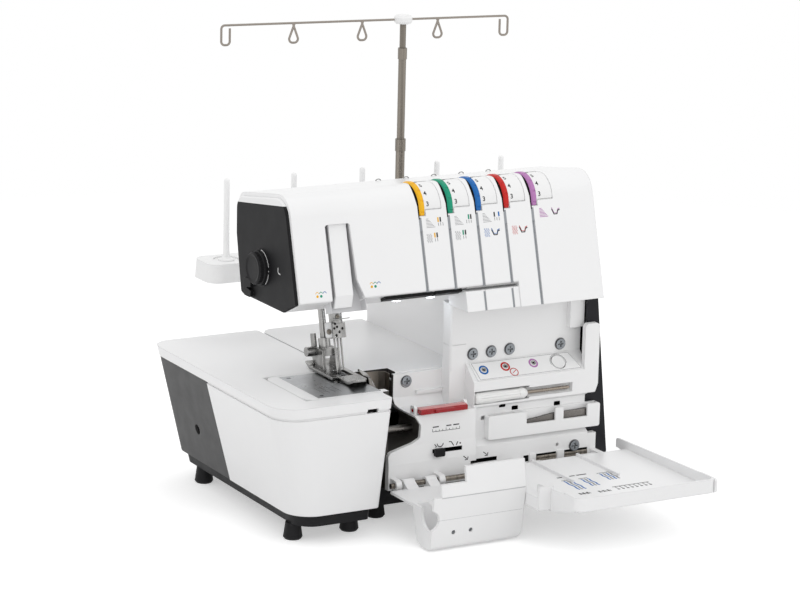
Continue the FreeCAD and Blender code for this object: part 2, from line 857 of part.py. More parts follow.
def presser_foot():
    low = bed_z + foot_sole_lift
    high = low + foot_sole_thickness
    y0 = foot_front
    y1 = foot_front + foot_length
    side = [(y0, low + 4), (y0 + 10, low), (y1 - 8, low), (y1, low + 4), (y1, low + 5.5), (y1 - 8, high),
            (y0 + 10, high), (y0, high + 4)]
    sole = prism(side, "x", foot_left, foot_left + foot_width)
    half = needle_half + needle_room
    slot = prism(rect(needle_x - half, needle_x + half, needle_y - 11, needle_y + 10), "z", low - 1, high + 8, 1)
    notch = box(foot_left - 1, foot_left + 6, y0 - 1, needle_y - 12, low - 1, high + 9)
    taper = prism([(foot_left + 18, y0 - 1), (foot_left + foot_width + 1, y0 - 1),
                   (foot_left + foot_width + 1, y0 + 16)], "z", low - 1, high + 9)
    sole = sole.cut([slot, notch, taper])
    cheek_y = needle_y + 14
    cheek = [(cheek_y, high), (y1 - 10, high), (y1 - 12, high + 12), (presser_y + 8, high + 18),
             (presser_y - 6, high + 18), (cheek_y + 2, high + 7)]
    walls = [prism(cheek, "x", x, x + 3) for x in (presser_x - 9, presser_x + 6)]
    o = V(presser_x, presser_y, bed_z)
    ankle = leaning_block(-6, 6, -6, 7, ankle_low, ankle_high, o)
    sleeve = rod(5.6, on_presser_axis(ankle_high), on_presser_axis(ankle_high + 9))
    sleeve = sleeve.cut(rod(presser_bar_radius + seat_gap, on_presser_axis(ankle_high), on_presser_axis(ankle_high + 10)))
    release = leaning_block(-8, -6, 4, 12, ankle_low - 6, ankle_high + 14, o)
    screw_y = presser_y + 9
    screw = rod_x(4.5, presser_x - 18, presser_x - 8, screw_y, bed_z + 18)
    pin = rod_x(1.6, presser_x - 9, presser_x + 9, presser_y + 3, bed_z + 16)
    return joined(sole, walls + [ankle, sleeve, release, screw, pin])


def foot_lifter():
    y = lifter_y
    z = lifter_z
    hub = rod_x(6, lifter_x - 4, lifter_x + 4, y, z)
    arm = prism([(y - 2, z - 5), (y + 38, z - 15), (y + 38, z - 9), (y, z + 5)], "x", lifter_x - 4, lifter_x + 4)
    paddle = [(lifter_x - 13, y + 34), (lifter_x + 13, y + 34), (lifter_x + 11, y + 54), (lifter_x - 11, y + 54)]
    paddle = prism(paddle, "z", z - 16, z - 10.5, [3, 3, 8, 8])
    pin = rod_x(lifter_pin_radius, lifter_x - 8, lug_left + 6, y, z)
    return joined(hub, [arm, paddle, pin])


# Cast frame and drive

bracket_left = lower_looper_x - 8.0
bracket_right = upper_looper_x + 10.0
bracket_front = looper_y + 14.0


def main_frame():
    base = box(web_left, web_right + web_width, 50, motor_y + 30, pan_floor, pan_floor + 8)
    web = [(50, pan_floor), (104, pan_floor), (128, pan_floor + 8), (128, shaft_z), (104, shaft_z + 30),
           (104, lug_high), (70, lug_high), (70, shaft_z + 22), (50, shaft_z - 20)]
    tall = prism(web, "x", web_left, web_left + web_width)
    low_web = [(66, pan_floor), (124, pan_floor), (124, shaft_z + 6), (116, shaft_z + 18), (92, shaft_z + 18),
               (66, shaft_z - 10)]
    short = prism(low_web, "x", web_right, web_right + web_width)
    beam = prism(rect(72, 104, lug_low, lug_high), "x", lug_left + lug_width, web_left, 5)
    lug = [(62, lug_low), (108.5, lug_low), (112.5, lug_high), (62, lug_high)]
    lug = prism(lug, "x", lug_left, lug_left + lug_width, [6, 1, 1, 6])
    rail = box(arm_right - 32, web_left, 50, arm_back - arm_wall, arm_floor - 14, arm_floor)
    bracket = prism(rect(bracket_left, bracket_right, arm_floor, upper_looper_z + 10), "y", bracket_front,
                    arm_back - arm_wall, [0, 0, 6, 6])
    frame = joined(base, [tall, short, beam, lug, rail, bracket])
    cuts = [rod(needle_bar_radius + run_gap, on_needle_axis(80), on_needle_axis(160)),
            rod(presser_bar_radius + run_gap, on_presser_axis(80), on_presser_axis(160)),
            rod_x(shaft_radius + run_gap, web_left - 1, web_right + 40, shaft_y, shaft_z),
            rod_x(lifter_pin_radius + run_gap, lug_left - 1, lug_left + 8, lifter_y, lifter_z),
            rod_y(looper_shaft_radius + run_gap, upper_looper_x, bracket_front - 1, arm_back, upper_looper_z),
            rod_y(looper_shaft_radius + run_gap, lower_looper_x, bracket_front - 1, arm_back, lower_looper_z)]
    for i in range(5):
        cuts.append(rod_y(7, lug_left + 46 + 20 * i, 60, 120, (lug_low + lug_high) / 2))
    return frame.cut(cuts)


def toothed_wheel(radius, y, z, teeth):
    # Belt pulley with square teeth between two flanges.
    points = []
    for i in range(teeth):
        for share, r in ((0.0, radius), (0.5, radius), (0.5, radius - tooth_depth), (1.0, radius - tooth_depth)):
            angle = 2 * math.pi * (i + share) / teeth
            points.append((y + r * math.cos(angle), z + r * math.sin(angle)))
    x1 = pulley_left + pulley_width
    flange = 1.2
    wheel = prism(points, "x", pulley_left - 0.3, x1 + 0.3)
    rims = [rod_x(radius + flange, x, x + flange, y, z) for x in (pulley_left - 0.3 - flange, x1 + 0.3)]
    return joined(wheel, rims)


def main_shaft():
    shaft = rod_x(shaft_radius, web_left - 12, wheel_left, shaft_y, shaft_z)
    collar = rod_x(bush_radius, web_left + web_width + 1, web_left + web_width + 9, shaft_y, shaft_z)
    return joined(shaft, [collar, toothed_wheel(pulley_radius, shaft_y, shaft_z, pulley_teeth)])


def motor_pulley():
    wheel = toothed_wheel(motor_pulley_radius, motor_y, motor_z, motor_pulley_teeth)
    return wheel.cut(rod_x(motor_shaft_radius + run_gap, pulley_left - 5, pulley_left + pulley_width + 5,
                           motor_y, motor_z))


def handwheel():
    x0 = wheel_left
    x1 = wheel_left + wheel_width
    r = wheel_radius
    profile = [(x0, 0), (x0, r - 8), (x0 + 2, r - 2), (x0 + 5, r), (x1 - 4, r), (x1, r - 4), (x1, r - 9),
               (x1 - 3, r - 12), (x1 - 3, 0)]
    wheel = turned_x(profile, shaft_y, shaft_z, [0, 0, 0, 2, 3, 2, 1, 0, 0])
    grips = []
    for i in range(wheel_grips):
        angle = 2 * math.pi * i / wheel_grips
        y = shaft_y + (r + 1.2) * math.cos(angle)
        z = shaft_z + (r + 1.2) * math.sin(angle)
        grips.append(rod_x(2.4, x0 - 1, x1 + 1, y, z))
    return wheel.cut(grips)


def belt_loop(grow):
    # Outer boundary of a belt round the two pulleys.
    big = pulley_radius + grow
    small = motor_pulley_radius + grow
    span = V(0, motor_y - shaft_y, motor_z - shaft_z)
    along = V(span).normalize()
    side = V(1, 0, 0).cross(along)
    sine = (big - small) / span.Length
    cosine = math.sqrt(1 - sine * sine)
    one = V(pulley_left, shaft_y, shaft_z)
    two = V(pulley_left, motor_y, motor_z)
    left = along * sine + side * cosine
    right = along * sine - side * cosine
    edges = [Part.makeLine(one + left * big, two + left * small),
             Part.Arc(two + left * small, two + along * small, two + right * small).toShape(),
             Part.makeLine(two + right * small, one + right * big),
             Part.Arc(one + right * big, one - along * big, one + left * big).toShape()]
    return Part.Face(Part.Wire(edges)).extrude(V(pulley_width, 0, 0))


def drive_belt():
    return belt_loop(belt_gap + belt_thickness).cut(belt_loop(belt_gap))


def motor():
    r = motor_radius
    x0 = motor_left
    x1 = motor_left + motor_length
    boss = 8.0
    profile = [(x0 - 6, 0), (x0 - 6, boss), (x0, boss), (x0, r - 5), (x0 + 5, r), (x1 - 5, r), (x1, r - 5),
               (x1, boss), (x1 + 6, boss), (x1 + 6, motor_shaft_radius),
               (pulley_left + pulley_width, motor_shaft_radius), (pulley_left + pulley_width, 0)]
    body = turned_x(profile, motor_y, motor_z)
    saddle_low = pan_floor + 8
    saddle = [(motor_y - 15, saddle_low), (motor_y + 15, saddle_low), (motor_y + 20, motor_z - 12),
              (motor_y - 20, motor_z - 12)]
    return joined(body, [prism(saddle, "x", x0 + 12, x1 - 12)])


# Knives and loopers in the bay beside the needle plate

def lower_knife():
    y0 = knife_front
    y1 = knife_front + knife_depth
    low = bed_z - 25
    blade = prism([(y0, low), (y1, low), (y1, bed_z - 0.3), (y0, bed_z - 2.5)], "x", plate_right + 0.6,
                  plate_right + 3.6)
    holder = box(plate_right - 6, plate_right + 3.6, y0 + 2, y1 - 2, arm_floor + arm_wall, low)
    return joined(blade, [holder])


def upper_knife():
    x0 = plate_right + 4.2
    y0 = knife_front
    y1 = knife_front + knife_depth
    low = knife_pivot_z - 8
    arm = [(y0 - 2, low), (y1 - 2, low), (y1, bed_z - 8), (y1, bed_z + 4), (y0 + 4, bed_z + 4), (y0, bed_z - 4)]
    plate = prism(arm, "x", x0, x0 + 3, [4, 4, 0, 3, 3, 0])
    shaft = rod_x(knife_shaft_radius, x0, knife_shaft_end, knife_pivot_y, knife_pivot_z)
    return joined(plate, [shaft])


def looper_shaft(x, z, front):
    return rod_y(looper_shaft_radius, x, front, arm_back - arm_wall - 1, z)


def upper_looper():
    x = upper_looper_x
    z = upper_looper_z
    hub = rod_y(8, x, looper_y + 5, looper_y + 11, z)
    arm = [(x - 7, z), (x + 7, z), (x - 6, z + 32), (x - 14, z + 43), (x - 21.5, z + 47), (x - 22, z + 45.5),
           (x - 16, z + 39), (x - 13, z + 29)]
    return joined(hub, [prism(arm, "y", looper_y + 6, looper_y + 9.5), looper_shaft(x, z, looper_y + 6)])


def lower_looper():
    x = lower_looper_x
    z = lower_looper_z
    hub = rod_y(7, x, looper_y - 2, looper_y + 3.5, z)
    arm = [(x - 6, z - 2), (x + 5, z + 4), (x - 8, z + 22), (x - 22, z + 33), (x - 32, z + 37), (x - 32.5, z + 35.5),
           (x - 24, z + 29), (x - 14, z + 18)]
    return joined(hub, [prism(arm, "y", looper_y, looper_y + 3), looper_shaft(x, z, looper_y)])


# Extension table

def table_form(inset, low, high):
    # The leaning outer form of the table between two heights, drawn in by an inset.
    wires = []
    for z in (low, high):
        down = (bed_z - z) / (bed_z - table_bottom)
        x0 = table_left + table_lean_left * down + inset
        x1 = table_right - table_lean_right * down - inset
        y0 = table_front + table_lean_front * down + inset
        y1 = table_back - table_lean_back * down - inset
        wires.append(outline(rect(x0, x1, y0, y1), "z", z, [table_corner - inset, 4, 4, table_rear_corner - inset]))
    return Part.makeLoft(wires, True, True)


def arm_pocket(grow):
    return box(arm_left - slide_gap - grow, table_right + 20, arm_front - slide_gap - grow,
               arm_back + slide_gap + grow, 0, bed_z + 1)


def panel_region(grow):
    top = bed_z - table_slab + grow
    low = table_bottom - 1
    side = [(table_panel_front - grow, top), (table_back + 20, top), (table_back + 20, low),
            (table_panel_front - table_panel_slant - grow, low)]
    return prism(side, "x", table_left - 5, table_left + table_lean_left + 12 + grow)


def extension_table():
    slab_low = bed_z - table_slab
    table = table_form(0, table_bottom, bed_z)
    hollow = table_form(table_wall, table_bottom - 1, slab_low).cut(arm_pocket(table_wall))
    groove = table_form(-1, slab_low - 2, slab_low).cut(table_form(1.2, slab_low - 3, slab_low + 1))
    latch = box(table_latch_left, table_latch_left + table_latch_width, table_front - 2, table_front + 8,
                slab_low - 2, slab_low + 2)
    return table.cut([hollow, arm_pocket(0), groove, latch, panel_region(0)])


def table_side_panel():
    skin = table_form(table_panel_sink, table_bottom, bed_z - table_slab - 0.1)
    skin = skin.cut(table_form(table_wall + table_panel_sink, table_bottom - 1, bed_z))
    panel = skin.common(panel_region(-fit_gap))
    return panel.cut(rod_x(5.0, table_left - 5, table_left + table_lean_left + 10, table_hole_y, table_hole_z))


def table_base():
    inset = 6.0
    tray = table_form(inset, foot_height, table_bottom)
    tray = tray.cut(table_form(inset + base_wall, pan_floor, table_bottom + 1))
    return joined(tray, [foot(x, y, foot_height) for x, y in table_foot_spots])


# Front cover, nose and hinge

def cover_y(reach):
    return hinge_y - reach


def cover_z(level):
    return hinge_z + level


cover_belly = 11.0
lug_starts = (hinge_left, 150.0, 240.0, hinge_right - hinge_lug_width)


def cover_arm(x0, x1, level):
    # One hinge eye with the arm that ties it to the cover's floor.
    eye = rod_x(hinge_eye_radius, x0, x1, hinge_y, hinge_z)
    reach = cover_start + 3
    arm = [(0, -hinge_eye_radius), (reach, level), (reach, level + cover_skin), (0, hinge_eye_radius)]
    return eye.fuse(prism([(cover_y(p), cover_z(q)) for p, q in arm], "x", x0, x1))


def cover_wall(x, heel):
    # A side wall of the tray, with a belly that hangs under the tray floor.
    level = cover_z(tray_level)
    high = level + cover_rim
    wall = [(heel, level), (cover_y(cover_step_reach), level - cover_belly), (cover_y(cover_reach), level),
            (cover_y(cover_reach), high), (heel, high - 4)]
    return prism(wall, "x", x, x + cover_skin, [0, 8, 3, 3, 3])


def front_cover():
    s = cover_skin
    c = cover_corner
    level = cover_z(tray_level)
    high = level + cover_rim
    near = cover_y(cover_start)
    step = cover_y(cover_step_reach)
    far = cover_y(cover_reach)
    floor = [(cover_split, near), (cover_right, near), (cover_right, far), (cover_step, far), (cover_step, step),
             (cover_split, step)]
    tray = prism(floor, "z", level, level + s, [0, 0, c, c, 0, 0])
    rim = prism(rect(cover_step, cover_right, far, far + 3 * c), "z", level, high, [c, c, 0, 0])
    core = prism(rect(cover_step + s, cover_right - s, far + s, near), "z", level - 1, high + 1, [c - s, c - s, 0, 0])
    front = box(cover_split, cover_step + s, step, step + s, level - cover_belly + 2, high)
    belly = [(near, level), (step, level - cover_belly), (far + s, level), (far + s, level + 1),
             (step, level - cover_belly + s), (near, level + s)]
    belly = prism([(y, z) for y, z in belly], "x", cover_step, cover_right)
    right = cover_wall(cover_right - s, hinge_y + cover_heel)
    corner = prism(rect(cover_step, cover_right, far, near), "z", level - cover_belly - 1, high + 1, [c, c, 0, 0])
    left = cover_wall(cover_step, step + 24)
    low = box(cover_left, cover_split + s, cover_y(nose_root), near, cover_z(low_level), cover_z(low_level + s))
    web = box(cover_split, cover_split + s, step, near, cover_z(low_level), level + s)
    ribs = []
    for x in (cover_step + 42, cover_step + 92):
        ribs.append(box(x, x + 2, step + 30, near, level + s, level + s + 2.5))
    outer = joined(belly, [left.common(corner), right])
    solids = [rim.cut(core), front, outer, low, web] + ribs
    for x0, x1 in eye_spans:
        solids.append(cover_arm(x0, x1, low_level if x0 < cover_split else tray_level))
    cover = joined(tray, solids)
    return cover.cut(rod_x(hinge_rod_radius + run_gap, cover_left, cover_right, hinge_y, hinge_z))


def nose_profile(points, x0, x1, radii=0.0):
    return prism([(cover_y(p), cover_z(q)) for p, q in points], "x", x0, x1, radii)


def cover_nose():
    t = nose_skin
    drop = nose_clear - hinge_z
    right_x = cover_split - nose_seam
    path = [(nose_root, low_level), (nose_root + 10, drop + 4), (nose_root + 18, drop), (nose_fold_reach - 6, drop),
            (nose_fold_reach, nose_fold_level), (nose_fold_reach - t, nose_fold_level),
            (nose_fold_reach - 6 - t, drop + t), (nose_root + 19, drop + t), (nose_root + 12.5, drop + 6),
            (nose_root + t, low_level + t), (nose_root, low_level + t)]
    skin = nose_profile(path, cover_left, right_x, [0, 0, 0, 5, 0, 0, 2, 0, 0, 0, 0])
    cheek = [(nose_root, low_level), (nose_root + 10, drop + 4), (nose_root + 18, drop), (nose_fold_reach - 6, drop),
             (nose_fold_reach, nose_fold_level), (nose_root + 16, low_level + t), (nose_root, low_level + t)]
    left = nose_profile(cheek, cover_left, cover_left + t, [0, 0, 0, 5, 0, 0, 0])
    right = nose_profile(cheek, right_x - t, right_x, [0, 0, 0, 5, 0, 0, 0])
    scoop = rod_x(13, cover_left - 1, cover_left + t + 1, cover_y(nose_fold_reach - 10), cover_z(-6))
    flap = [(nose_fold_reach, nose_fold_level), (nose_flap_reach, nose_flap_level),
            (nose_flap_reach - t, nose_flap_level), (nose_fold_reach - t, nose_fold_level)]
    flap = nose_profile(flap, nose_flap_left, right_x)
    ear = box(nose_flap_left - 1, nose_ear_right, cover_y(nose_fold_reach) - 5, cover_y(nose_flap_reach) + 10,
              cover_z(nose_ear_level), cover_z(nose_flap_level) + 1)
    nose = joined(skin, [left.cut(scoop), right, flap.cut(ear)])
    y0 = cover_y(nose_fold_reach) - 2
    y1 = cover_y(nose_root) + 2
    c = nose_corner
    low = cover_z(drop)
    corner = box(right_x - c, right_x + 1, y0, y1, low - 1, low + c).cut(rod_y(c, right_x - c, y0, y1, low + c))
    thumb = rod_y(10, cover_left - 3, y0, y0 + 12, cover_z(-8))
    holes = [rod_y(2.0, x, y0, y0 + 12, low + 16) for x in (cover_left + 23, cover_left + 41)]
    return nose.cut([corner, thumb] + holes)


def hinge_rod():
    return rod_x(hinge_rod_radius, hinge_left - 4, hinge_right + 4, hinge_y, hinge_z)


# Front chassis with its controls

def port_point(share, lift):
    # A place on the sloping port face, by its share of the way down and its height over the face.
    run_y = port_front_y - wall_y
    run_z = port_front_z - port_back_z
    length = math.hypot(run_y, run_z)
    y = wall_y + run_y * share + lift * run_z / length
    z = port_back_z + run_z * share - lift * run_y / length
    return y, z


def leaning_port(shape):
    # Turn an upright shape about X so that it stands on the middle of the sloping port face.
    tilt = math.degrees(math.atan2(port_back_z - port_front_z, wall_y - port_front_y))
    shape.rotate(V(0, 0, 0), V(1, 0, 0), tilt)
    y, z = port_point(0.5, 0)
    shape.translate(V(0, y, z))
    return shape


chassis_top = skirt_z - 1.0
lip_top = bed_z - 1.5
lever_floor = lever_z - 1.0
lever_pin_z = lever_z + 2.5


def left_module():
    back = bed_front - fit_gap
    side = [(back, lip_top), (lip_front, lip_top), (lip_front, lever_z + 8), (lip_front - 6, lever_floor),
            (module_y, lever_floor), (module_y - 1, 72), (module_foot_y, 56), (module_foot_y, base_top),
            (back + 3, base_top), (back + 3, under - fit_gap), (back, under - fit_gap)]
    module = prism(side, "x", chassis_left, chassis_split + 1)
    front = [(chassis_left, base_top - 1), (chassis_split + 2, base_top - 1), (chassis_split + 2, bed_z),
             (module_top_left, bed_z), (module_top_left, lever_floor + 4), (module_left - 6, lever_floor - 1),
             (module_left, 90), (module_left - 1, 78), (module_left - 9, 74), (chassis_left, 67)]
    module = module.common(prism(front, "y", 0, bed_front + 10, [0, 0, 0, 0, 2, 2, 4, 3, 6, 6]))
    ledge = box(module_top_left + 24, pillar_left + 1, lip_front - 3, lip_front + 1, lever_z + 10, lever_z + 13)
    return [module, ledge]


def lever_ears():
    ears = []
    for x in (lever_left - 3.4, lever_right + 0.4):
        ears.append(prism(rect(lever_pin_y - 4, lever_pin_y + 4, lever_floor - 1, lever_z + 7), "x", x, x + 3,
                          [0, 0, 3, 3]))
    return ears


def pillar():
    back = column_left + housing_wall
    top = prism(rect(pillar_left, back, wall_y, pillar_back), "z", bed_z, chassis_top, [3, 0, 0, 8])
    foot_block = box(pillar_left, chassis_split + 1, wall_y, bed_front - fit_gap, lever_floor, bed_z)
    seam = 0.6
    grooves = [box(pillar_left - 1, pillar_left + seam, wall_y - 1, pillar_back + 1, pillar_seam_z, pillar_seam_z + seam),
               box(pillar_left - 1, chassis_split, wall_y - 1, wall_y + seam, pillar_seam_z, pillar_seam_z + seam)]
    return [top.cut(grooves), foot_block]


def inner_chassis():
    right = [(wall_y, chassis_top), (wall_y, port_back_z), (port_front_y, port_front_z),
             (port_front_y, face_top + 3), (face_y, face_top), (face_y, sill_z + 5), (sill_y, sill_z),
             (sill_y, base_top), (chassis_back, base_top), (chassis_back, chassis_top)]
    right = prism(right, "x", chassis_split, chassis_right)
    step = box(step_left, chassis_right, wall_y - 6, wall_y + 1, step_z, chassis_top)
    side_gap = side_front - slide_gap
    latch = prism([(latch_left, latch_low), (latch_right - 3, latch_low), (latch_right, latch_low + 8),
                   (latch_right, latch_high), (latch_left, latch_high)], "y", port_front_y, side_gap, [1, 1, 1, 4, 4])
    flange = box(chassis_right - 4, hinge_right, sill_y + 1, side_gap, base_top, sill_z - 2)
    lugs = []
    for x in lug_starts:
        lugs.append(box(x, x + hinge_lug_width, hinge_y, sill_y + 2, hinge_z - hinge_eye_radius,
                        hinge_z + hinge_eye_radius))
        lugs.append(rod_x(hinge_eye_radius, x, x + hinge_lug_width, hinge_y, hinge_z))
    chassis = joined(right, left_module() + lever_ears() + pillar() + [step, latch, flange] + lugs)
    cuts = [rod_x(hinge_rod_radius + seat_gap, hinge_left - 10, hinge_right + 10, hinge_y, hinge_z)]
    for x0, x1, z in (slot_one, slot_two):
        cuts.append(box(x0, x1, -2, 16, z, z + slot_height))
    cuts.append(leaning_port(rod_z(button_radius + work_gap, button_x, 0, -14, 2)))
    for x, z in notch_spots:
        cuts.append(prism(rect(x, x + 7, z, z + 4), "y", port_front_y - 4, face_y + 8, 0.8))
    cuts.append(box(driver_left - 1, driver_left + driver_handle + 2, port_front_y - 1, port_front_y + 9,
                    driver_z - driver_radius, driver_z + driver_radius + 1.5))
    cuts.append(box(driver_left + driver_handle, driver_right + 3, port_front_y - 1, port_front_y + 9,
                    driver_z - 4, driver_z + 5))
    cuts.append(rod_x(knife_shaft_radius + run_gap, chassis_left, knife_shaft_end + 1, knife_pivot_y, knife_pivot_z))
    cuts.append(rod_x(lever_pin_radius + run_gap, lever_left - 10, lever_right + 10, lever_pin_y, lever_pin_z))
    cuts.append(rod_y(1.8, low_hole[0], sill_y - 1, sill_y + 8, low_hole[1]))
    return chassis.cut(cuts)


def threading_panel():
    half = math.hypot(wall_y - port_front_y, port_back_z - port_front_z) / 2 - 1.5
    shape = [(chassis_split + 5, -half), (latch_left - 1, -half), (latch_left - 10, half), (chassis_split + 3, half)]
    plate = prism(shape, "z", 0, 1.2, 1.0)
    holes = [rod_z(button_radius + work_gap, button_x, 0, -1, 3)]
    ports = []
    for x, y in port_holes:
        ports.append(rod_z(3.0, x, y, 0, 1.8))
        holes.append(rod_z(1.4, x, y, -1, 3))
    return leaning_port(joined(plate, ports).cut(holes))


def threading_button():
    cap = rod_z(button_radius, button_x, 0, -6, 1.6)
    dish = Part.makeSphere(30, V(button_x, 0, 30.9))
    return leaning_port(cap.cut(dish))


def looper_lever():
    z = lever_z
    bar = prism([(2.5, z), (14.5, z + 0.5), (14.5, z + 4.5), (6, z + 5.5), (2.5, z + 4)], "x", lever_left, lever_right)
    middle = (lever_left + lever_right) / 2
    grip = prism([(0.5, z + 1), (3, z + 0.5), (3, z + 4.5), (0.5, z + 4)], "x", middle - 10, middle + 10)
    pin = rod_x(lever_pin_radius, lever_left - 3.4, lever_right + 3.4, lever_pin_y, lever_pin_z)
    return joined(bar, [grip, pin])


def slide_knob():
    x0, x1, z = slot_one
    gap = 0.4
    stem = box(x0 + 2, x0 + 9, 1.5, 14, z + gap, z + slot_height - gap)
    cap = prism(rect(x0 + 0.5, x0 + 11, z - 2.5, z + slot_height + 1), "y", -1.0, 2.4, 1.5)
    return joined(stem, [cap])


def screw_head(x, y, z):
    head = rod_y(screw_radius, x, y - 1.8, y, z)
    groove = 0.7
    arm = screw_radius * 0.6
    cross = [box(x - groove, x + groove, y - 3, y - 0.9, z - arm, z + arm),
             box(x - arm, x + arm, y - 3, y - 0.9, z - groove, z + groove)]
    return head.cut(cross)


def chassis_screws():
    heads = [screw_head(x, wall_y, z) for x, z in screw_row]
    heads.append(screw_head(module_top_left + 14, lip_front, lip_top - 7.5))
    heads.append(screw_head(low_screw[0], sill_y, low_screw[1]))
    return group(heads)


def accessory_tray():
    w = tray_wall
    body = prism(rect(tray_left, tray_right, tray_low, tray_high), "y", tray_front, face_y, 2)
    cuts = [box(tray_left + w, tray_right - w, tray_front + w, face_y - 1.5, tray_low + w, tray_high + 1)]
    for x0, x1 in ((tray_left + 42, tray_post), (tray_post + 9, tray_right - 14)):
        cuts.append(box(x0, x1, tray_front - 1, tray_front + w + 1, tray_lip, tray_high + 1))
    return body.cut(cuts)


def tweezers():
    z = tray_low + tray_wall
    x0 = tray_left + 34
    x1 = tray_right - 5
    blade = [(x0, z), (x1, z), (x1, z + 16), (x0 + 40, z + 15), (x0 + 8, z + 11), (x0, z + 5)]
    y0 = tray_front + tray_wall + 0.5
    return group([prism(blade, "y", y, y + 1.2) for y in (y0, y0 + 2.2)])


def screwdriver():
    y = port_front_y + 2.4
    r = driver_radius
    x0 = driver_left
    x1 = driver_left + driver_handle
    handle = [(x0, 0), (x0, r - 1.6), (x0 + 2, r - 0.2), (x0 + 18, r), (x1 - 14, r - 0.8), (x1 - 4, r - 0.2),
              (x1, r - 2.6), (x1, 0)]
    flutes = []
    for i in range(driver_flutes):
        angle = 2 * math.pi * i / driver_flutes
        flutes.append(rod_x(1.2, x0 + 5, x1 - 9, y + r * math.cos(angle), driver_z + r * math.sin(angle)))
    grip = turned_x(handle, y, driver_z).cut(flutes)
    return joined(grip, [rod_x(1.6, x1 - 1, driver_right, y, driver_z)])


# Right side cover and its controls

def side_right(z):
    return side_bottom_right + (side_top_right - side_bottom_right) * (z - base_top) / (side_top - base_top)


def side_section(inset):
    return [(body_right, base_top + inset), (side_bottom_right - inset, base_top + inset),
            (side_top_right - inset, side_top - inset), (body_right, side_top - inset)]


dial_floor = side_right(small_dial_z + small_dial_radius) - 4
switch_pin_x = recess_floor - 4


def right_side_cover():
    w = side_wall
    outer = prism(side_section(0), "y", side_front, body_back, [0, 6, 8, 0])
    inner = side_section(w)
    inner[0] = (body_right - 1, base_top + w)
    inner[3] = (body_right - 1, side_top - w)
    shell = outer.cut(prism(inner, "y", side_front + w, body_back - w, [0, 3, 5, 0]))
    block = box(body_right + 4, side_bottom_right, switch_y - 26, switch_y + 26, inlet_z - 22, switch_z + 20)
    pads = [outer.common(block)]
    for y in (stitch_dial_y, feed_dial_y):
        pads.append(outer.common(rod_x(small_dial_radius + 4, body_right + 6, side_bottom_right, y, small_dial_z)))
    shell = joined(shell, pads)
    right = side_bottom_right + 1
    cuts = [rod_x(shaft_radius + 2, body_right, wheel_left, shaft_y, shaft_z),
            box(recess_floor, right, switch_y - 18, switch_y + 18, inlet_z - 16, inlet_z + 16),
            box(recess_floor - 8, right, switch_y - 14, switch_y + 14, switch_z - 10, switch_z + 10),
            rod_z(switch_pin_radius + run_gap, switch_pin_x, switch_y, switch_z - 14, switch_z + 14)]
    for y in (stitch_dial_y, feed_dial_y):
        cuts.append(rod_x(small_dial_radius + work_gap, dial_floor, right, y, small_dial_z))
        cuts.append(rod_x(4 + run_gap, dial_floor - 8, dial_floor + 1, y, small_dial_z))
    return shell.cut(cuts)


def side_dial(y):
    x0 = dial_floor + 0.4
    x1 = x0 + small_dial_depth
    r = small_dial_radius
    profile = [(dial_floor - 6, 0), (dial_floor - 6, 4), (x0, 4), (x0, r), (x1 - 2, r - 1), (x1, r - 3), (x1, 0)]
    dial = turned_x(profile, y, small_dial_z)
    sides = []
    for y0, y1 in ((y - r, y - 2.5), (y + 2.5, y + r)):
        sides.append(prism(rect(y0, y1, small_dial_z - r, small_dial_z + r), "x", x1 - 4, x1 + 1))
    return dial.cut(sides)


def power_inlet():
    x = recess_floor
    block = prism(rect(switch_y - 14, switch_y + 14, inlet_z - 11, inlet_z + 11), "x", x, x + 6, [2, 2, 6, 6])
    mouth = prism(rect(switch_y - 12, switch_y + 12, inlet_z - 9, inlet_z + 9), "x", x + 1.5, x + 7, [1, 1, 5, 5])
    pins = [box(x + 1, x + 5, y - 1, y + 1, inlet_z - 4, inlet_z + 2) for y in (switch_y - 6, switch_y, switch_y + 6)]
    return joined(block.cut(mouth), pins)


def power_switch():
    x0 = recess_floor - 7
    tip = recess_floor + 5.5
    side = [(x0, switch_y - 4), (tip - 5, switch_y - 12.5), (tip, switch_y - 12.5), (tip - 1.5, switch_y),
            (tip, switch_y + 12.5), (tip - 5, switch_y + 12.5), (x0, switch_y + 4)]
    rocker = prism(side, "z", switch_z - 9, switch_z + 9)
    return joined(rocker, [rod_z(switch_pin_radius, switch_pin_x, switch_y, switch_z - 13, switch_z + 13)])


# Spool stand, pins, pole and thread guide

def stand_form(inset, low, high):
    wires = []
    for z in (low, high):
        draw = inset + stand_taper * (z - deck_z) / (stand_top - deck_z)
        shape = rect(stand_left + draw, stand_right - draw, stand_front + draw, stand_back - draw)
        wires.append(outline(shape, "z", z, stand_corner - draw))
    return Part.makeLoft(wires, True, True)


def spool_stand():
    stand = stand_form(0, deck_z, stand_top)
    stand = stand.cut(stand_form(stand_wall, deck_z - 1, stand_top - stand_wall))
    inner_top = stand_top - stand_wall + 0.5
    posts = [rod_z(6, x, pin_y, deck_z, inner_top) for x in (column_left + 14, body_right - 20)]
    posts.append(rod_z(pole_radius + stand_wall, pole_x, pin_y, deck_z, inner_top))
    ribs = []
    for x in (column_left - 60, column_left - 120, body_right + 20):
        ribs.append(box(x, x + 2, stand_front + 2, stand_back - 2, deck_z + 4, inner_top))
    stand = joined(stand, posts + ribs)
    wells = [rod_z(pin_radius * 4.5, x, pin_y, stand_top - pin_sink, stand_top + 1) for x in pin_xs]
    wells.append(rod_z(pole_radius + seat_gap, pole_x, pin_y, pole_base, stand_top + 1))
    return stand.cut(wells)


def spool_pins():
    z0 = stand_top - pin_sink
    top = z0 + pin_height
    r = pin_radius
    profile = [(0, z0), (r * 2.8, z0), (r * 2.8, z0 + 2), (r + 1, z0 + 4), (r + 1, z0 + pin_foot - 1),
               (r, z0 + pin_foot), (r, top - pin_tip), (r * 0.4, top), (0, top)]
    return group([turned_z(profile, x, pin_y) for x in pin_xs])


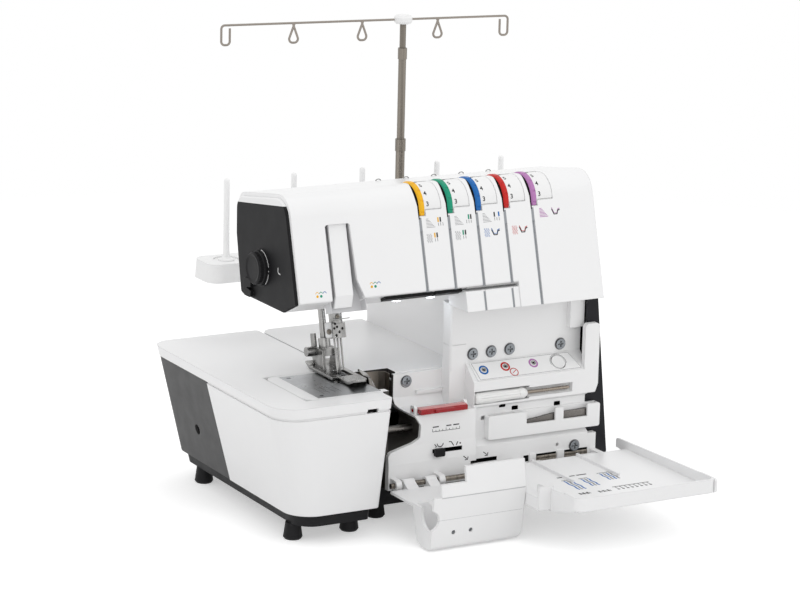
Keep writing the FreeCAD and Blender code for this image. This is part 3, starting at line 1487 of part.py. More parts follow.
def tube(outer, bore, low, high):
    pipe = rod_z(outer, pole_x, pin_y, low, high)
    return pipe.cut(rod_z(bore, pole_x, pin_y, low - 1, high + 1))


def pole_lower():
    collar = tube(pole_radius + 0.7, pole_radius - 0.1, pole_lower_top - 12, pole_lower_top)
    return joined(tube(pole_radius, pole_radius - pole_wall, pole_base, pole_lower_top), [collar])


def pole_middle():
    collar = tube(mid_radius + 0.7, mid_radius - 0.1, pole_mid_top - 11, pole_mid_top)
    return joined(tube(mid_radius, mid_radius - pole_wall, pole_lower_top - pole_overlap, pole_mid_top), [collar])


def pole_top():
    return tube(tip_radius, tip_radius - pole_wall, pole_mid_top - pole_overlap, pole_top_z)


def guide_hub():
    low = guide_z - hub_height / 2
    high = guide_z + hub_height / 2
    bore = tip_radius + seat_gap
    profile = [(bore, low), (hub_radius - 1.5, low), (hub_radius, low + 2), (hub_radius, high - 2),
               (hub_radius - 1.5, high), (0, high), (0, pole_top_z), (bore, pole_top_z)]
    hub = turned_z(profile, pole_x, pin_y)
    return hub.cut(rod_x(wire_radius + seat_gap, pole_x - 20, pole_x + 20, pin_y, guide_z))


def bent_wire(points, bend):
    # Round wire through the points, with straight runs and round bends.
    runs = []
    last = points[0]
    for i in range(1, len(points) - 1):
        start, middle, end, centre = corner_arc(points[i - 1], points[i], points[i + 1], bend)
        before = points[i] - points[i - 1]
        after = points[i + 1] - points[i]
        runs.append(rod(wire_radius, last, start))
        disc = Part.Face(Part.Wire(Part.makeCircle(wire_radius, start, before)))
        runs.append(disc.revolve(centre, before.cross(after), math.degrees(before.getAngle(after))))
        last = end
    runs.append(rod(wire_radius, last, points[-1]))
    return runs[0].fuse(runs[1:])


def on_bar(reach, drop):
    return V(pole_x + reach, pin_y, guide_z - drop)


def guide_wires():
    bars = [rod(wire_radius, on_bar(-guide_left_reach, 0), on_bar(guide_right_reach, 0))]
    for end, way in ((-guide_left_reach, -1), (guide_right_reach, 1)):
        far = end + way * guide_hook_reach
        near = end + way * 0.5
        hook = [on_bar(end, 0), on_bar(far, 0), on_bar(far, guide_hook_drop), on_bar(near, guide_hook_drop),
                on_bar(near, 3)]
        bars.append(bent_wire(hook, 3.5))
    half = guide_loop_width / 2 + 1.5
    for reach in guide_loop_reaches:
        loop = [on_bar(reach + 1, 0), on_bar(reach - half, guide_loop_drop), on_bar(reach + half, guide_loop_drop),
                on_bar(reach - 1, 0)]
        bars.append(bent_wire(loop, guide_loop_width * 0.4))
    return joined(bars[0], bars[1:])


def thread_guide():
    guide = group([guide_hub(), guide_wires()])
    guide.rotate(V(pole_x, pin_y, 0), V(0, 0, 1), guide_turn)
    return guide


nodes = {
    "base_pan": base_pan(),
    "base_feet": base_feet(),
    "bed_and_arm": bed_and_arm(),
    "needle_plate": needle_plate(),
    "feed_dogs": feed_dogs(),
    "main_housing": main_housing(),
    "head_shell": head_shell(),
    "head_end_cap": head_end_cap(),
    "pressure_knob": pressure_knob(),
    "take_up_cover": take_up_cover(),
    "needle_thread_guide": needle_thread_guide(),
    "lamp_lenses": lamp_lenses(),
    "dial_axle": dial_axle(),
    "needle_bar": needle_bar(),
    "needle_clamp": needle_clamp(),
    "needles": needles(),
    "presser_bar": presser_bar(),
    "presser_foot": presser_foot(),
    "foot_lifter": foot_lifter(),
    "main_frame": main_frame(),
    "main_shaft": main_shaft(),
    "handwheel": handwheel(),
    "motor": motor(),
    "motor_pulley": motor_pulley(),
    "drive_belt": drive_belt(),
    "lower_knife": lower_knife(),
    "upper_knife": upper_knife(),
    "upper_looper": upper_looper(),
    "lower_looper": lower_looper(),
    "extension_table": extension_table(),
    "table_side_panel": table_side_panel(),
    "table_base": table_base(),
    "front_cover": front_cover(),
    "cover_nose": cover_nose(),
    "hinge_rod": hinge_rod(),
    "inner_chassis": inner_chassis(),
    "threading_panel": threading_panel(),
    "threading_button": threading_button(),
    "looper_lever": looper_lever(),
    "slide_knob": slide_knob(),
    "chassis_screws": chassis_screws(),
    "accessory_tray": accessory_tray(),
    "tweezers": tweezers(),
    "screwdriver": screwdriver(),
    "right_side_cover": right_side_cover(),
    "stitch_length_dial": side_dial(stitch_dial_y),
    "differential_feed_dial": side_dial(feed_dial_y),
    "power_inlet": power_inlet(),
    "power_switch": power_switch(),
    "spool_stand": spool_stand(),
    "spool_pins": spool_pins(),
    "pole_lower": pole_lower(),
    "pole_middle": pole_middle(),
    "pole_top": pole_top(),
    "thread_guide": thread_guide(),
}
for i in range(dial_count):
    nodes["tension_dial_%d" % (i + 1)] = tension_dial(i)

os.makedirs("parts", exist_ok=True)
for name, shape in nodes.items():
    shape.translate(V(-footprint_mid_x, -footprint_mid_y, 0))
    shape.exportStep("parts/%s.step" % name)
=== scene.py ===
import bmesh
import bpy
import math
import numpy as np
from mathutils import Matrix, Vector


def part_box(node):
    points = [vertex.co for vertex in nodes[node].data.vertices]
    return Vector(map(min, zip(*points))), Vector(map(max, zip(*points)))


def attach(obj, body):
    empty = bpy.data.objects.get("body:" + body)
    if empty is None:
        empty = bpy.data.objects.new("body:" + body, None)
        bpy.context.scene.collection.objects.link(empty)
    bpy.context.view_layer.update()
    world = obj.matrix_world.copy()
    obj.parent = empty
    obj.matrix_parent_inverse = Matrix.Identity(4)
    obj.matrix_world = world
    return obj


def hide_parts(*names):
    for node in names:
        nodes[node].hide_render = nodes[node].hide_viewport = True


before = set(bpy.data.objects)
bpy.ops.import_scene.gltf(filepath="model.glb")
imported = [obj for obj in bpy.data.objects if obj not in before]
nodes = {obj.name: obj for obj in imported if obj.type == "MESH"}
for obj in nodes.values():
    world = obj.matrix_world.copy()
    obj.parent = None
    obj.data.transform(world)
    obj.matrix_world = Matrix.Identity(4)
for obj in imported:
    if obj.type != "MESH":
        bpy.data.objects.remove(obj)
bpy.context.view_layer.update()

# Places are millimetres from the front left foot of the table: x to the right, y to the back, z up.
# The front left base foot starts 95 mm right of and 21 mm behind that point, which ties it to the frame.
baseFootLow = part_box("base_feet")[0]
middle = np.array((95.0 - baseFootLow.x * 1000, 21.0 - baseFootLow.y * 1000, 0.0))


def toFrame(points):
    return (np.asarray(points, float) - middle) / 1000


def spot(x, y, z):
    return Vector(toFrame((x, y, z)))


def addObject(name, data):
    thing = bpy.data.objects.new(name, data)
    bpy.context.collection.objects.link(thing)
    return thing


# Camera, at the photograph's place and angle

cameraSet = {"azimuth": -29.4, "elevation": 13.5, "roll": 1.3, "place": (-1195.97, -2314.89, 851.81),
             "focal": 135.0, "sensor": 36.0, "far": 20.0}


def makeCamera(s):
    # Tipped up from looking straight down, turned about the upright, and rolled about its line of sight.
    azimuth, elevation, roll = [math.radians(s[key]) for key in ("azimuth", "elevation", "roll")]
    turn = Matrix.Rotation(azimuth, 4, "Z") @ Matrix.Rotation(math.pi / 2 - elevation, 4, "X")
    data = bpy.data.cameras.new("camera")
    data.lens = s["focal"]
    data.sensor_width = s["sensor"]
    data.clip_end = s["far"]
    camera = addObject("camera", data)
    camera.matrix_world = Matrix.Translation(spot(*s["place"])) @ turn @ Matrix.Rotation(roll, 4, "Z")
    bpy.context.scene.camera = camera


makeCamera(cameraSet)
print("camera set")


# Shader tools

def fill(node, values):
    for key, value in values.items():
        node.inputs[key].default_value = value


def addNode(tree, kind, values=None, **settings):
    node = tree.nodes.new(kind)
    for key, value in settings.items():
        setattr(node, key, value)
    fill(node, values or {})
    return node


def wire(tree, *pairs):
    for start, end in pairs:
        tree.links.new(start, end)


def feed(tree, socket, value):
    # A number, vector or colour is set on the socket; another node's output is wired to it.
    if isinstance(value, (int, float, tuple)):
        socket.default_value = value
    else:
        tree.links.new(value, socket)


def makeGroup(name, inputs, outputs):
    # A socket's kind follows from its value: one number, three for a vector or four for a colour.
    group = bpy.data.node_groups.new(name, "ShaderNodeTree")
    for way, sockets in (("INPUT", inputs), ("OUTPUT", outputs)):
        for label, value in sockets.items():
            count = len(value) if isinstance(value, tuple) else 1
            kind = {1: "NodeSocketFloat", 3: "NodeSocketVector", 4: "NodeSocketColor"}[count]
            socket = group.interface.new_socket(name=label, in_out=way, socket_type=kind)
            if way == "INPUT":
                socket.default_value = value
    return group, group.nodes.new("NodeGroupInput").outputs, group.nodes.new("NodeGroupOutput").inputs


def objectPlace(tree):
    return addNode(tree, "ShaderNodeTexCoord").outputs["Object"]


def noise(tree, place, scale, detail=3.0):
    node = addNode(tree, "ShaderNodeTexNoise", {"Detail": detail})
    feed(tree, node.inputs["Vector"], place)
    feed(tree, node.inputs["Scale"], scale)
    return node.outputs["Fac"]


def spread(tree, value, low, high, toLow, toHigh):
    limits = {"From Min": low, "From Max": high, "To Min": toLow, "To Max": toHigh}
    node = addNode(tree, "ShaderNodeMapRange", limits)
    feed(tree, node.inputs["Value"], value)
    return node.outputs["Result"]


def calc(tree, operation, *values, kind="ShaderNodeMath", output="Value"):
    node = addNode(tree, kind, operation=operation)
    for socket, value in zip(node.inputs, values):
        feed(tree, socket, value)
    return node.outputs[output]


def vectorCalc(tree, operation, *values):
    output = "Value" if operation in ("LENGTH", "DOT_PRODUCT") else "Vector"
    return calc(tree, operation, *values, kind="ShaderNodeVectorMath", output=output)


def mixColour(tree, factor, first, second, blend="MIX"):
    node = addNode(tree, "ShaderNodeMix", data_type="RGBA", blend_type=blend)
    for number, value in ((0, factor), (6, first), (7, second)):
        feed(tree, node.inputs[number], value)
    return node.outputs[2]


# Node groups that the finishes share

skinOutputs = {"Colour": (0.8, 0.8, 0.8, 1.0), "Roughness": 0.5, "Height": 0.0}


def closeSkin(group, given, made, shade, smudges, height):
    # The shade darkens the colour and the smudges move the roughness up and down.
    wire(group, (mixColour(group, 1.0, given["Colour"], shade, "MULTIPLY"), made["Colour"]),
         (calc(group, "MULTIPLY_ADD", smudges, given["Smudges"], given["Dullness"]), made["Roughness"]),
         (height, made["Height"]))


def makeMouldedSkin():
    # Fine grain for the height, broad clouds for the colour and smudges for the roughness.
    inputs = {"Colour": (0.8, 0.8, 0.8, 1.0), "Grain": 900.0, "Clouds": 0.04, "Dullness": 0.4,
              "Smudges": 0.1}
    group, given, made = makeGroup("mouldedSkin", inputs, skinOutputs)
    place = objectPlace(group)
    clouds = spread(group, noise(group, place, 16.0), 0.35, 0.7, 0.0, 1.0)
    shade = calc(group, "SUBTRACT", 1.0, calc(group, "MULTIPLY", clouds, given["Clouds"]))
    smudges = spread(group, noise(group, place, 70.0, 5.0), 0.35, 0.7, -0.5, 0.5)
    closeSkin(group, given, made, shade, smudges, noise(group, place, given["Grain"], 2.0))


def makeBrushedSkin():
    # Streaks: noise on coordinates that are drawn out along one way, and painted shade that darkens the
    # corners where the occlusion node finds other surfaces close.
    inputs = {"Colour": (0.6, 0.6, 0.6, 1.0), "Stretch": (40.0, 1500.0, 1500.0), "Streaks": 0.2,
              "Dullness": 0.3, "Smudges": 0.15, "Grime": 0.5}
    group, given, made = makeGroup("brushedSkin", inputs, skinOutputs)
    place = objectPlace(group)
    streaks = noise(group, vectorCalc(group, "MULTIPLY", place, given["Stretch"]), 1.0)
    shade = calc(group, "SUBTRACT", 1.0, calc(group, "MULTIPLY", streaks, given["Streaks"]))
    openness = addNode(group, "ShaderNodeAmbientOcclusion", {"Distance": 0.005}, samples=6)
    # Painted shade: darker where other surfaces are near.
    cornerShade = spread(group, openness.outputs["AO"], 0.35, 0.95, 1.0, 0.0)
    unshadedShare = calc(group, "SUBTRACT", 1.0, calc(group, "MULTIPLY", cornerShade, given["Grime"]))
    smudges = spread(group, noise(group, place, 90.0, 4.0), 0.35, 0.7, -0.5, 0.5)
    closeSkin(group, given, made, calc(group, "MULTIPLY", shade, unshadedShare), smudges, streaks)


def makeSoftEdge():
    # Rounded normals along sharp edges, and a broken mask of where those edges are.
    group, given, made = makeGroup("softEdge", {"Radius": 0.0008}, {"Normal": (0.0, 0.0, 1.0), "Edge": 0.0})
    rounded = addNode(group, "ShaderNodeBevel", samples=4)
    normal = rounded.outputs["Normal"]
    flat = addNode(group, "ShaderNodeNewGeometry").outputs["Normal"]
    edge = spread(group, vectorCalc(group, "DOT_PRODUCT", normal, flat), 0.99, 0.8, 0.0, 1.0)
    patches = spread(group, noise(group, objectPlace(group), 260.0, 4.0), 0.42, 0.62, 0.15, 1.0)
    wire(group, (given["Radius"], rounded.inputs["Radius"]), (normal, made["Normal"]),
         (calc(group, "MULTIPLY", edge, patches), made["Edge"]))


def makeBeyond():
    # 1 where the place along an axis is past a level, else 0.
    group, given, made = makeGroup("beyond", {"Axis": (1.0, 0.0, 0.0), "Level": 0.0}, {"Mask": 0.0})
    along = vectorCalc(group, "DOT_PRODUCT", objectPlace(group), given["Axis"])
    wire(group, (calc(group, "GREATER_THAN", along, given["Level"]), made["Mask"]))


makeMouldedSkin()
makeBrushedSkin()
makeSoftEdge()
makeBeyond()


def placeGroup(tree, name, values):
    return addNode(tree, "ShaderNodeGroup", values, node_tree=bpy.data.node_groups[name])


def startMaterial(name):
    material = bpy.data.materials.new(name)
    material.use_nodes = True
    return material, material.node_tree, material.node_tree.nodes["Principled BSDF"]


def rgb(colour):
    # A single number is a grey.
    return (*colour, 1.0) if isinstance(colour, tuple) else (colour, colour, colour, 1.0)


def named(columns, table):
    return {name: dict(zip(columns, row)) for name, row in table.items()}


bumpDepth = 0.0002


def dressShader(tree, shader, skin, s):
    # Skin colour with lighter edges, partly wear and partly a painted highlight, and grain on top of the
    # rounded edges.
    edge = placeGroup(tree, "softEdge", {"Radius": s["edge"]})
    colour = mixColour(tree, edge.outputs["Edge"], skin.outputs["Colour"], rgb(s["worn"]))
    bump = addNode(tree, "ShaderNodeBump", {"Strength": s["bump"], "Distance": bumpDepth})
    wire(tree, (skin.outputs["Height"], bump.inputs["Height"]),
         (edge.outputs["Normal"], bump.inputs["Normal"]), (bump.outputs["Normal"], shader.inputs["Normal"]),
         (skin.outputs["Roughness"], shader.inputs["Roughness"]))
    return colour


def plainFinish(name, skinName, s):
    # The settings that begin with a capital are the skin's inputs.
    material, tree, shader = startMaterial(name)
    values = {key: value for key, value in s.items() if key.istitle()}
    skin = placeGroup(tree, skinName, dict(values, Colour=rgb(s["Colour"])))
    wire(tree, (dressShader(tree, shader, skin, s), shader.inputs["Base Color"]))
    fill(shader, {"Specular IOR Level": s["gloss"]} if "gloss" in s else {"Metallic": 1.0})
    return material


# Plastics and rubber, one row each

# In this table and the metal one, the second column is the lighter colour of the edges: partly wear and
# partly a painted highlight.
plasticColumns = ("Colour", "worn", "Dullness", "Smudges", "Grain", "bump", "Clouds", "edge", "gloss")
plasticSet = named(plasticColumns, {
    "glossWhite": ((0.84, 0.84, 0.843), 0.86, 0.30, 0.04, 900.0, 0.006, 0.012, 0.0010, 0.5),
    "satinWhite": (0.84, 0.86, 0.42, 0.05, 900.0, 0.012, 0.012, 0.0006, 0.5),
    "milkyWhite": (0.83, 0.86, 0.38, 0.05, 900.0, 0.01, 0.02, 0.0008, 0.5),
    "milkyPin": (0.88, 0.9, 0.35, 0.04, 900.0, 0.01, 0.03, 0.0004, 0.4),
    "capCharcoal": ((0.011, 0.011, 0.012), (0.04, 0.04, 0.042), 0.5, 0.08, 1100.0, 0.08, 0.15, 0.0006, 0.18),
    "panelGrey": ((0.056, 0.056, 0.057), 0.11, 0.5, 0.08, 1000.0, 0.08, 0.08, 0.0006, 0.28),
    "sideBlack": ((0.006, 0.006, 0.009), (0.03, 0.03, 0.034), 0.46, 0.08, 1100.0, 0.08, 0.2, 0.0008, 0.24),
    "softGrey": ((0.60, 0.60, 0.61), 0.68, 0.4, 0.05, 1300.0, 0.03, 0.03, 0.0004, 0.5),
    "slotGrey": ((0.30, 0.315, 0.335), (0.36, 0.37, 0.39), 0.5, 0.1, 1300.0, 0.05, 0.08, 0.0002, 0.3),
    "deepBlack": (0.004, 0.008, 0.7, 0.1, 1300.0, 0.05, 0.2, 0.0002, 0.1),
    "rubber": (0.016, 0.04, 0.8, 0.15, 700.0, 0.25, 0.3, 0.0005, 0.25)})

finish = {name: plainFinish(name, "mouldedSkin", s) for name, s in plasticSet.items()}


# Metals, one row each

# The last column darkens the corners that the occlusion node finds, as painted shade.
metalColumns = ("Colour", "worn", "Stretch", "Streaks", "Dullness", "Smudges", "bump", "edge", "Grime")
metalSet = named(metalColumns, {
    "plateSteel": ((0.57, 0.58, 0.595), (0.7, 0.7, 0.71), (1500, 30, 30),
                   0.3, 0.34, 0.16, 0.05, 0.0004, 0.6),
    "brightSteel": ((0.52, 0.515, 0.505), (0.8, 0.8, 0.78), (260, 260, 30),
                    0.6, 0.24, 0.14, 0.04, 0.0005, 0.85),
    # Streaks stretched so that they run straight up the pole: painted reflection bands.
    "poleSteelPaintedReflection": ((0.40, 0.36, 0.31), (0.5, 0.47, 0.42), (330, 330, 2), 0.95, 0.3, 0.1, 0.05, 0.0004, 0.4),
    "toolSteel": ((0.25, 0.235, 0.22), (0.4, 0.39, 0.37), (30, 500, 500), 0.4, 0.3, 0.12, 0.05, 0.0004, 0.5),
    "zincScrew": ((0.3, 0.32, 0.34), (0.62, 0.64, 0.66), (500, 500, 500), 0.4, 0.3, 0.2, 0.06, 0.0004, 0.95),
    "darkIron": ((0.30, 0.27, 0.235), (0.36, 0.33, 0.29), (120, 120, 20), 0.4, 0.42, 0.2, 0.08, 0.0004, 0.6),
    "castMetal": ((0.3, 0.3, 0.295), (0.5, 0.5, 0.49), (600, 600, 600), 0.35, 0.55, 0.2, 0.35, 0.0008, 0.6),
    "motorSteel": ((0.12, 0.12, 0.13), 0.35, (60, 900, 900), 0.3, 0.4, 0.2, 0.08, 0.0006, 0.5)})

finish.update({name: plainFinish(name, "brushedSkin", s) for name, s in metalSet.items()})


# Pieces moulded or built in two coats, told apart by where on the piece a point lies

def coat(colour, dull, metal=0.0, gloss=0.5):
    return {"colour": colour, "dull": dull, "metal": metal, "gloss": gloss}


def past(*limits):
    # A mask that is 1 beyond every limit, each an axis and a place that its level runs through.
    def mask(tree):
        inside = None
        for axis, place in limits:
            level = Vector(axis).dot(spot(*place))
            beyond = placeGroup(tree, "beyond", {"Axis": axis, "Level": level}).outputs["Mask"]
            inside = beyond if inside is None else calc(tree, "MULTIPLY", inside, beyond)
        return inside
    return mask


twoSkin = {"Grain": 900.0, "Clouds": 0.012, "Smudges": 0.04}
# The edge colour here is partly wear and partly a painted highlight.
twoEdge = {"edge": 0.0005, "bump": 0.01, "worn": 0.7}
wearAndSheenShare = 0.12


def twoFinish(name, near, far, makeMask):
    # The far coat shows where the mask is 1.
    material, tree, shader = startMaterial(name)
    mask = makeMask(tree)
    skin = placeGroup(tree, "mouldedSkin", twoSkin)
    dull = spread(tree, mask, 0.0, 1.0, near["dull"], far["dull"])
    wire(tree, (mixColour(tree, mask, rgb(near["colour"]), rgb(far["colour"])), skin.inputs["Colour"]),
         (dull, skin.inputs["Dullness"]))
    colour = dressShader(tree, shader, skin, twoEdge)
    wire(tree, (mixColour(tree, wearAndSheenShare, skin.outputs["Colour"], colour), shader.inputs["Base Color"]))
    shader.inputs["Specular IOR Level"].default_value = near["gloss"]
    if near["metal"] != far["metal"]:
        metal = spread(tree, mask, 0.0, 1.0, near["metal"], far["metal"])
        wire(tree, (metal, shader.inputs["Metallic"]))
    return material


shellWhite = coat((0.84, 0.84, 0.843), 0.3)
# Near black on the faces of the white pieces that look into the looper bay.
bayNearBlack = coat((0.030, 0.027, 0.024), 0.5)
# The cap and the lever change coat at a line that falls to the back; the lever's pale upper coat is partly a
# clear band and partly a painted highlight.
coatSet = {
    "driver": {"near": coat((0.84, 0.84, 0.83), 0.35), "far": coat((0.30, 0.26, 0.22), 0.28, 1.0),
               "past": (((1, 0, 0), (253.8, 0, 0)),)},
    "guideBars": {"near": coat(0.006, 0.4, gloss=0.12),
                  "far": coat(0.42, 0.18), "past": (((1, 0, 0), (175.0, 0, 0)),)},
    "bedAndBay": {"near": shellWhite, "far": bayNearBlack,
                  "past": (((1, 0, 0), (86.1, 0, 0)), ((-1, 0, 0), (130.3, 0, 0)),
                           ((0, -1, 0), (0, 60.3, 0)), ((0, 0, -1), (0, 0, 132.9)))},
    "capAndRim": {"near": coat((0.009, 0.009, 0.010), 0.5, gloss=0.14), "far": shellWhite,
                  "past": (((0, 0.139, 1), (0.5, 110.1, 292.9)),)},
    "redLever": {"near": coat((0.33, 0.009, 0.014), 0.14), "far": coat((0.60, 0.24, 0.24), 0.14),
                 "past": (((0, 0.12, 1), (0, 10.0, 104.9)),)}}
for coatName, settings in coatSet.items():
    finish[coatName] = twoFinish(coatName, settings["near"], settings["far"], past(*settings["past"]))

hubSet = {"centre": (226.0, 215.0), "reach": 9.3, "hub": coat(0.83, 0.4),
          "wire": coat((0.30, 0.27, 0.24), 0.26, 1.0)}
chassisSet = {"white": coat(0.84, 0.42), "edge": ((0, 1, 0), (0, 9.0, 0)),
              "lip": ((-1, 0, 0), (126.3, 0, 0)), "slope": ((-1, 0, 0), (137.5, 0, 0)),
              "slopeTop": ((0, 0, -1), (0, 0, 97.0))}


def hubMask(tree):
    # Distance from the upright pole axis, past the hub's rim.
    away = vectorCalc(tree, "SUBTRACT", objectPlace(tree), tuple(spot(*hubSet["centre"], 0)))
    reach = vectorCalc(tree, "LENGTH", vectorCalc(tree, "MULTIPLY", away, (1.0, 1.0, 0.0)))
    return calc(tree, "GREATER_THAN", reach, hubSet["reach"] / 1000)


def chassisMask(tree):
    # Facing the looper bay: behind the edge, and left of the lip or, lower down, of the slope beside it.
    back = past(chassisSet["edge"])(tree)
    left = past(chassisSet["lip"])(tree)
    lower = past(chassisSet["slope"], chassisSet["slopeTop"])(tree)
    return calc(tree, "MULTIPLY", back, calc(tree, "MAXIMUM", left, lower))


finish["hubAndWires"] = twoFinish("hubAndWires", hubSet["hub"], hubSet["wire"], hubMask)
finish["chassisAndBay"] = twoFinish("chassisAndBay", chassisSet["white"], bayNearBlack, chassisMask)

dialSet = {"yellow": (0.85, 0.45, 0.006), "green": (0.002, 0.29, 0.165), "blue": (0.002, 0.125, 0.42),
           "red": (0.54, 0.010, 0.006), "violet": (0.45, 0.19, 0.44)}
dialRimWidth = 6.0
dialSeam = 5.2  # the colour ends a little inside the rim's edge
drumWhite = coat(0.83, 0.34)


def dialFinish(number, colour):
    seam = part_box("tension_dial_%d" % number)[0].x * 1000 + middle[0] + dialSeam
    rim = coat(colour, 0.24, gloss=0.3)
    return twoFinish("dial%d" % number, rim, drumWhite, past(((1, 0, 0), (seam, 0, 0))))


lensSet = {"glow": (0.86, 0.93, 1.0, 1), "strength": 12.0}


def lampFinish(s):
    material = plainFinish("lampLens", "mouldedSkin", plasticSet["milkyWhite"])
    shader = material.node_tree.nodes["Principled BSDF"]
    fill(shader, {"Emission Color": s["glow"], "Emission Strength": s["strength"]})
    return material


finish["lampLens"] = lampFinish(lensSet)

nodeFinish = {
    "glossWhite": ("head_shell", "extension_table", "main_housing", "front_cover", "cover_nose",
                   "take_up_cover"),
    "satinWhite": ("accessory_tray", "threading_panel", "foot_lifter", "threading_button"),
    "chassisAndBay": ("inner_chassis",), "capAndRim": ("head_end_cap",),
    "milkyWhite": ("spool_stand",), "milkyPin": ("spool_pins",),
    "capCharcoal": ("pressure_knob", "slide_knob", "table_base", "base_pan"),
    "panelGrey": ("table_side_panel",),
    "sideBlack": ("right_side_cover", "handwheel", "stitch_length_dial", "differential_feed_dial",
                  "power_inlet", "power_switch"),
    "rubber": ("base_feet", "drive_belt"),
    "plateSteel": ("needle_plate",), "toolSteel": ("tweezers", "upper_knife"),
    "brightSteel": ("feed_dogs", "needle_bar", "needle_clamp", "needles", "presser_bar", "presser_foot",
                    "main_shaft", "lower_knife", "upper_looper", "lower_looper", "dial_axle"),
    "poleSteelPaintedReflection": ("pole_lower", "pole_middle", "pole_top", "hinge_rod"),
    "zincScrew": ("chassis_screws",), "castMetal": ("main_frame",), "motorSteel": ("motor", "motor_pulley"),
    "driver": ("screwdriver",), "guideBars": ("needle_thread_guide",), "hubAndWires": ("thread_guide",),
    "bedAndBay": ("bed_and_arm",), "lampLens": ("lamp_lenses",), "redLever": ("looper_lever",)}


def dress(node, material):
    slots = nodes[node].data.materials
    slots.clear()
    slots.append(material)


for finishName, members in nodeFinish.items():
    for member in members:
        dress(member, finish[finishName])
for number, colourName in enumerate(dialSet, 1):
    dress("tension_dial_%d" % number, dialFinish(number, dialSet[colourName]))
print("%d nodes dressed" % len(nodes))


# Inks for the printed marks; each is listed with a slot name, which nothing here reads

inkSet = {"inkBlack": ((0.02, 0.02, 0.02), "dark_plastic"), "inkGrey": ((0.26, 0.26, 0.27), "dark_plastic"),
          "inkPale": ((0.55, 0.55, 0.56), "grey_plastic"),
          "inkWhite": ((0.78, 0.78, 0.78), "white_plastic")}
for colourName, colour in dialSet.items():
    inkSet["ink" + colourName.capitalize()] = (colour, "dial_" + colourName)
inkWearAndSheen = (0.85, 0.1)
inkLook = (0.4, 0.1, 2500.0, 0.05, 0.12, 0.00005, 0.3)


def inkFinish(name, colour):
    paler = tuple(inkWearAndSheen[0] * c + inkWearAndSheen[1] for c in colour)
    return plainFinish(name, "mouldedSkin", dict(zip(plasticColumns, (colour, paler, *inkLook))))


for inkName, (colour, slotName) in inkSet.items():
    finish[inkName] = inkFinish(inkName, colour)


# Surfaces

def gridFaces(rows, columns, closeRows=False):
    # Quads between neighbouring rows, round each row, and from the last row to the first if asked.
    i, j = np.meshgrid(np.arange(rows if closeRows else rows - 1), np.arange(columns), indexing="ij")
    nextI = (i + 1) % rows
    nextJ = (j + 1) % columns
    corners = (i * columns + j, i * columns + nextJ, nextI * columns + nextJ, nextI * columns + j)
    return np.stack(corners, -1).reshape(-1, 4)


def closedTube(rings, closeRows=False):
    # Rings of points joined row by row, with the two ends filled unless the rows run round.
    rows, columns = rings.shape[:2]
    faces = [gridFaces(rows, columns, closeRows)]
    if not closeRows:
        ends = np.arange(columns)
        faces += [ends[None, ::-1], (ends + (rows - 1) * columns)[None]]
    return rings.reshape(-1, 3), faces


def carry(path, up, profile, closed=False):
    # A profile of (across, above) points set at each point of a path: across is the path's way times up.
    path = np.asarray(path, float)
    if closed:
        way = np.roll(path, -1, 0) - np.roll(path, 1, 0)
    else:
        way = np.gradient(path, axis=0)
    across = np.cross(way, up)
    across /= np.linalg.norm(across, axis=1, keepdims=True)
    profile = np.asarray(profile, float)
    rings = path[:, None] + across[:, None] * profile[None, :, :1]
    return closedTube(rings + np.asarray(up, float) * profile[None, :, 1:], closed)


def flatBar(width, low=-0.04, high=0.06):
    return ((-width / 2, low), (width / 2, low), (width / 2, high), (-width / 2, high))


def turned(profile, face, centre, spokes=28):
    # A profile of (radius, height) points turned about the face's normal through a point of the face.
    turn = np.linspace(0, 2 * np.pi, spokes, endpoint=False)
    profile = np.asarray(profile, float)
    flat = profile[:, None, :1] * np.stack((np.cos(turn), np.sin(turn)), -1)[None]
    rings = onFace(face, flat + np.asarray(centre, float)) + face["normal"] * profile[:, None, 1:]
    return closedTube(rings)


def plate(face, centre, half, layers, power=8.0, count=40):
    # A superellipse of the half sizes, shrunk by each layer's inset at that layer's height.
    turn = np.linspace(0, 2 * np.pi, count, endpoint=False)
    wave = np.stack((np.cos(turn), np.sin(turn)), -1)
    shape = np.sign(wave) * np.abs(wave) ** (2 / power)
    layers = np.asarray(layers, float)
    flat = shape[None] * (np.asarray(half, float) - layers[:, None, :1]) + np.asarray(centre, float)
    return closedTube(onFace(face, flat) + face["normal"] * layers[:, None, 1:])


def drawnOut(profile, axis, ends):
    # A flat profile set at both ends of an axis: the two other coordinates keep their order.
    profile = np.asarray(profile, float)
    return closedTube(np.stack([np.insert(profile, axis, end, axis=1) for end in ends]))


def faceFrame(origin, right=(1, 0, 0), up=(0, 0, 1)):
    right = np.asarray(right, float) / np.linalg.norm(right)
    up = np.asarray(up, float) / np.linalg.norm(up)
    return {"origin": np.asarray(origin, float), "right": right, "up": up, "normal": np.cross(right, up)}


def onFace(face, uv):
    uv = np.asarray(uv, float)
    return face["origin"] + uv[..., :1] * face["right"] + uv[..., 1:2] * face["up"]


def arc(centre, radius, start, end, count=25):
    turn = np.radians(np.linspace(start, end, count))
    return np.stack((centre[0] + radius * np.cos(turn), centre[1] + radius * np.sin(turn)), -1)


def inkLine(face, line, width):
    return carry(onFace(face, line), face["normal"], flatBar(width))


def inkLines(face, lines, width):
    return [inkLine(face, line, width) for line in lines]


def inkRing(face, centre, radius, width):
    loop = arc(centre, radius, 0, 360, 41)[:-1]
    return carry(onFace(face, loop), face["normal"], flatBar(width), True)


def inkDot(face, centre, radius):
    return turned(((radius, -0.04), (radius, 0.05), (radius * 0.7, 0.09)), face, centre, 20)


weldReach = 1e-7
sharpAngle = math.radians(35)


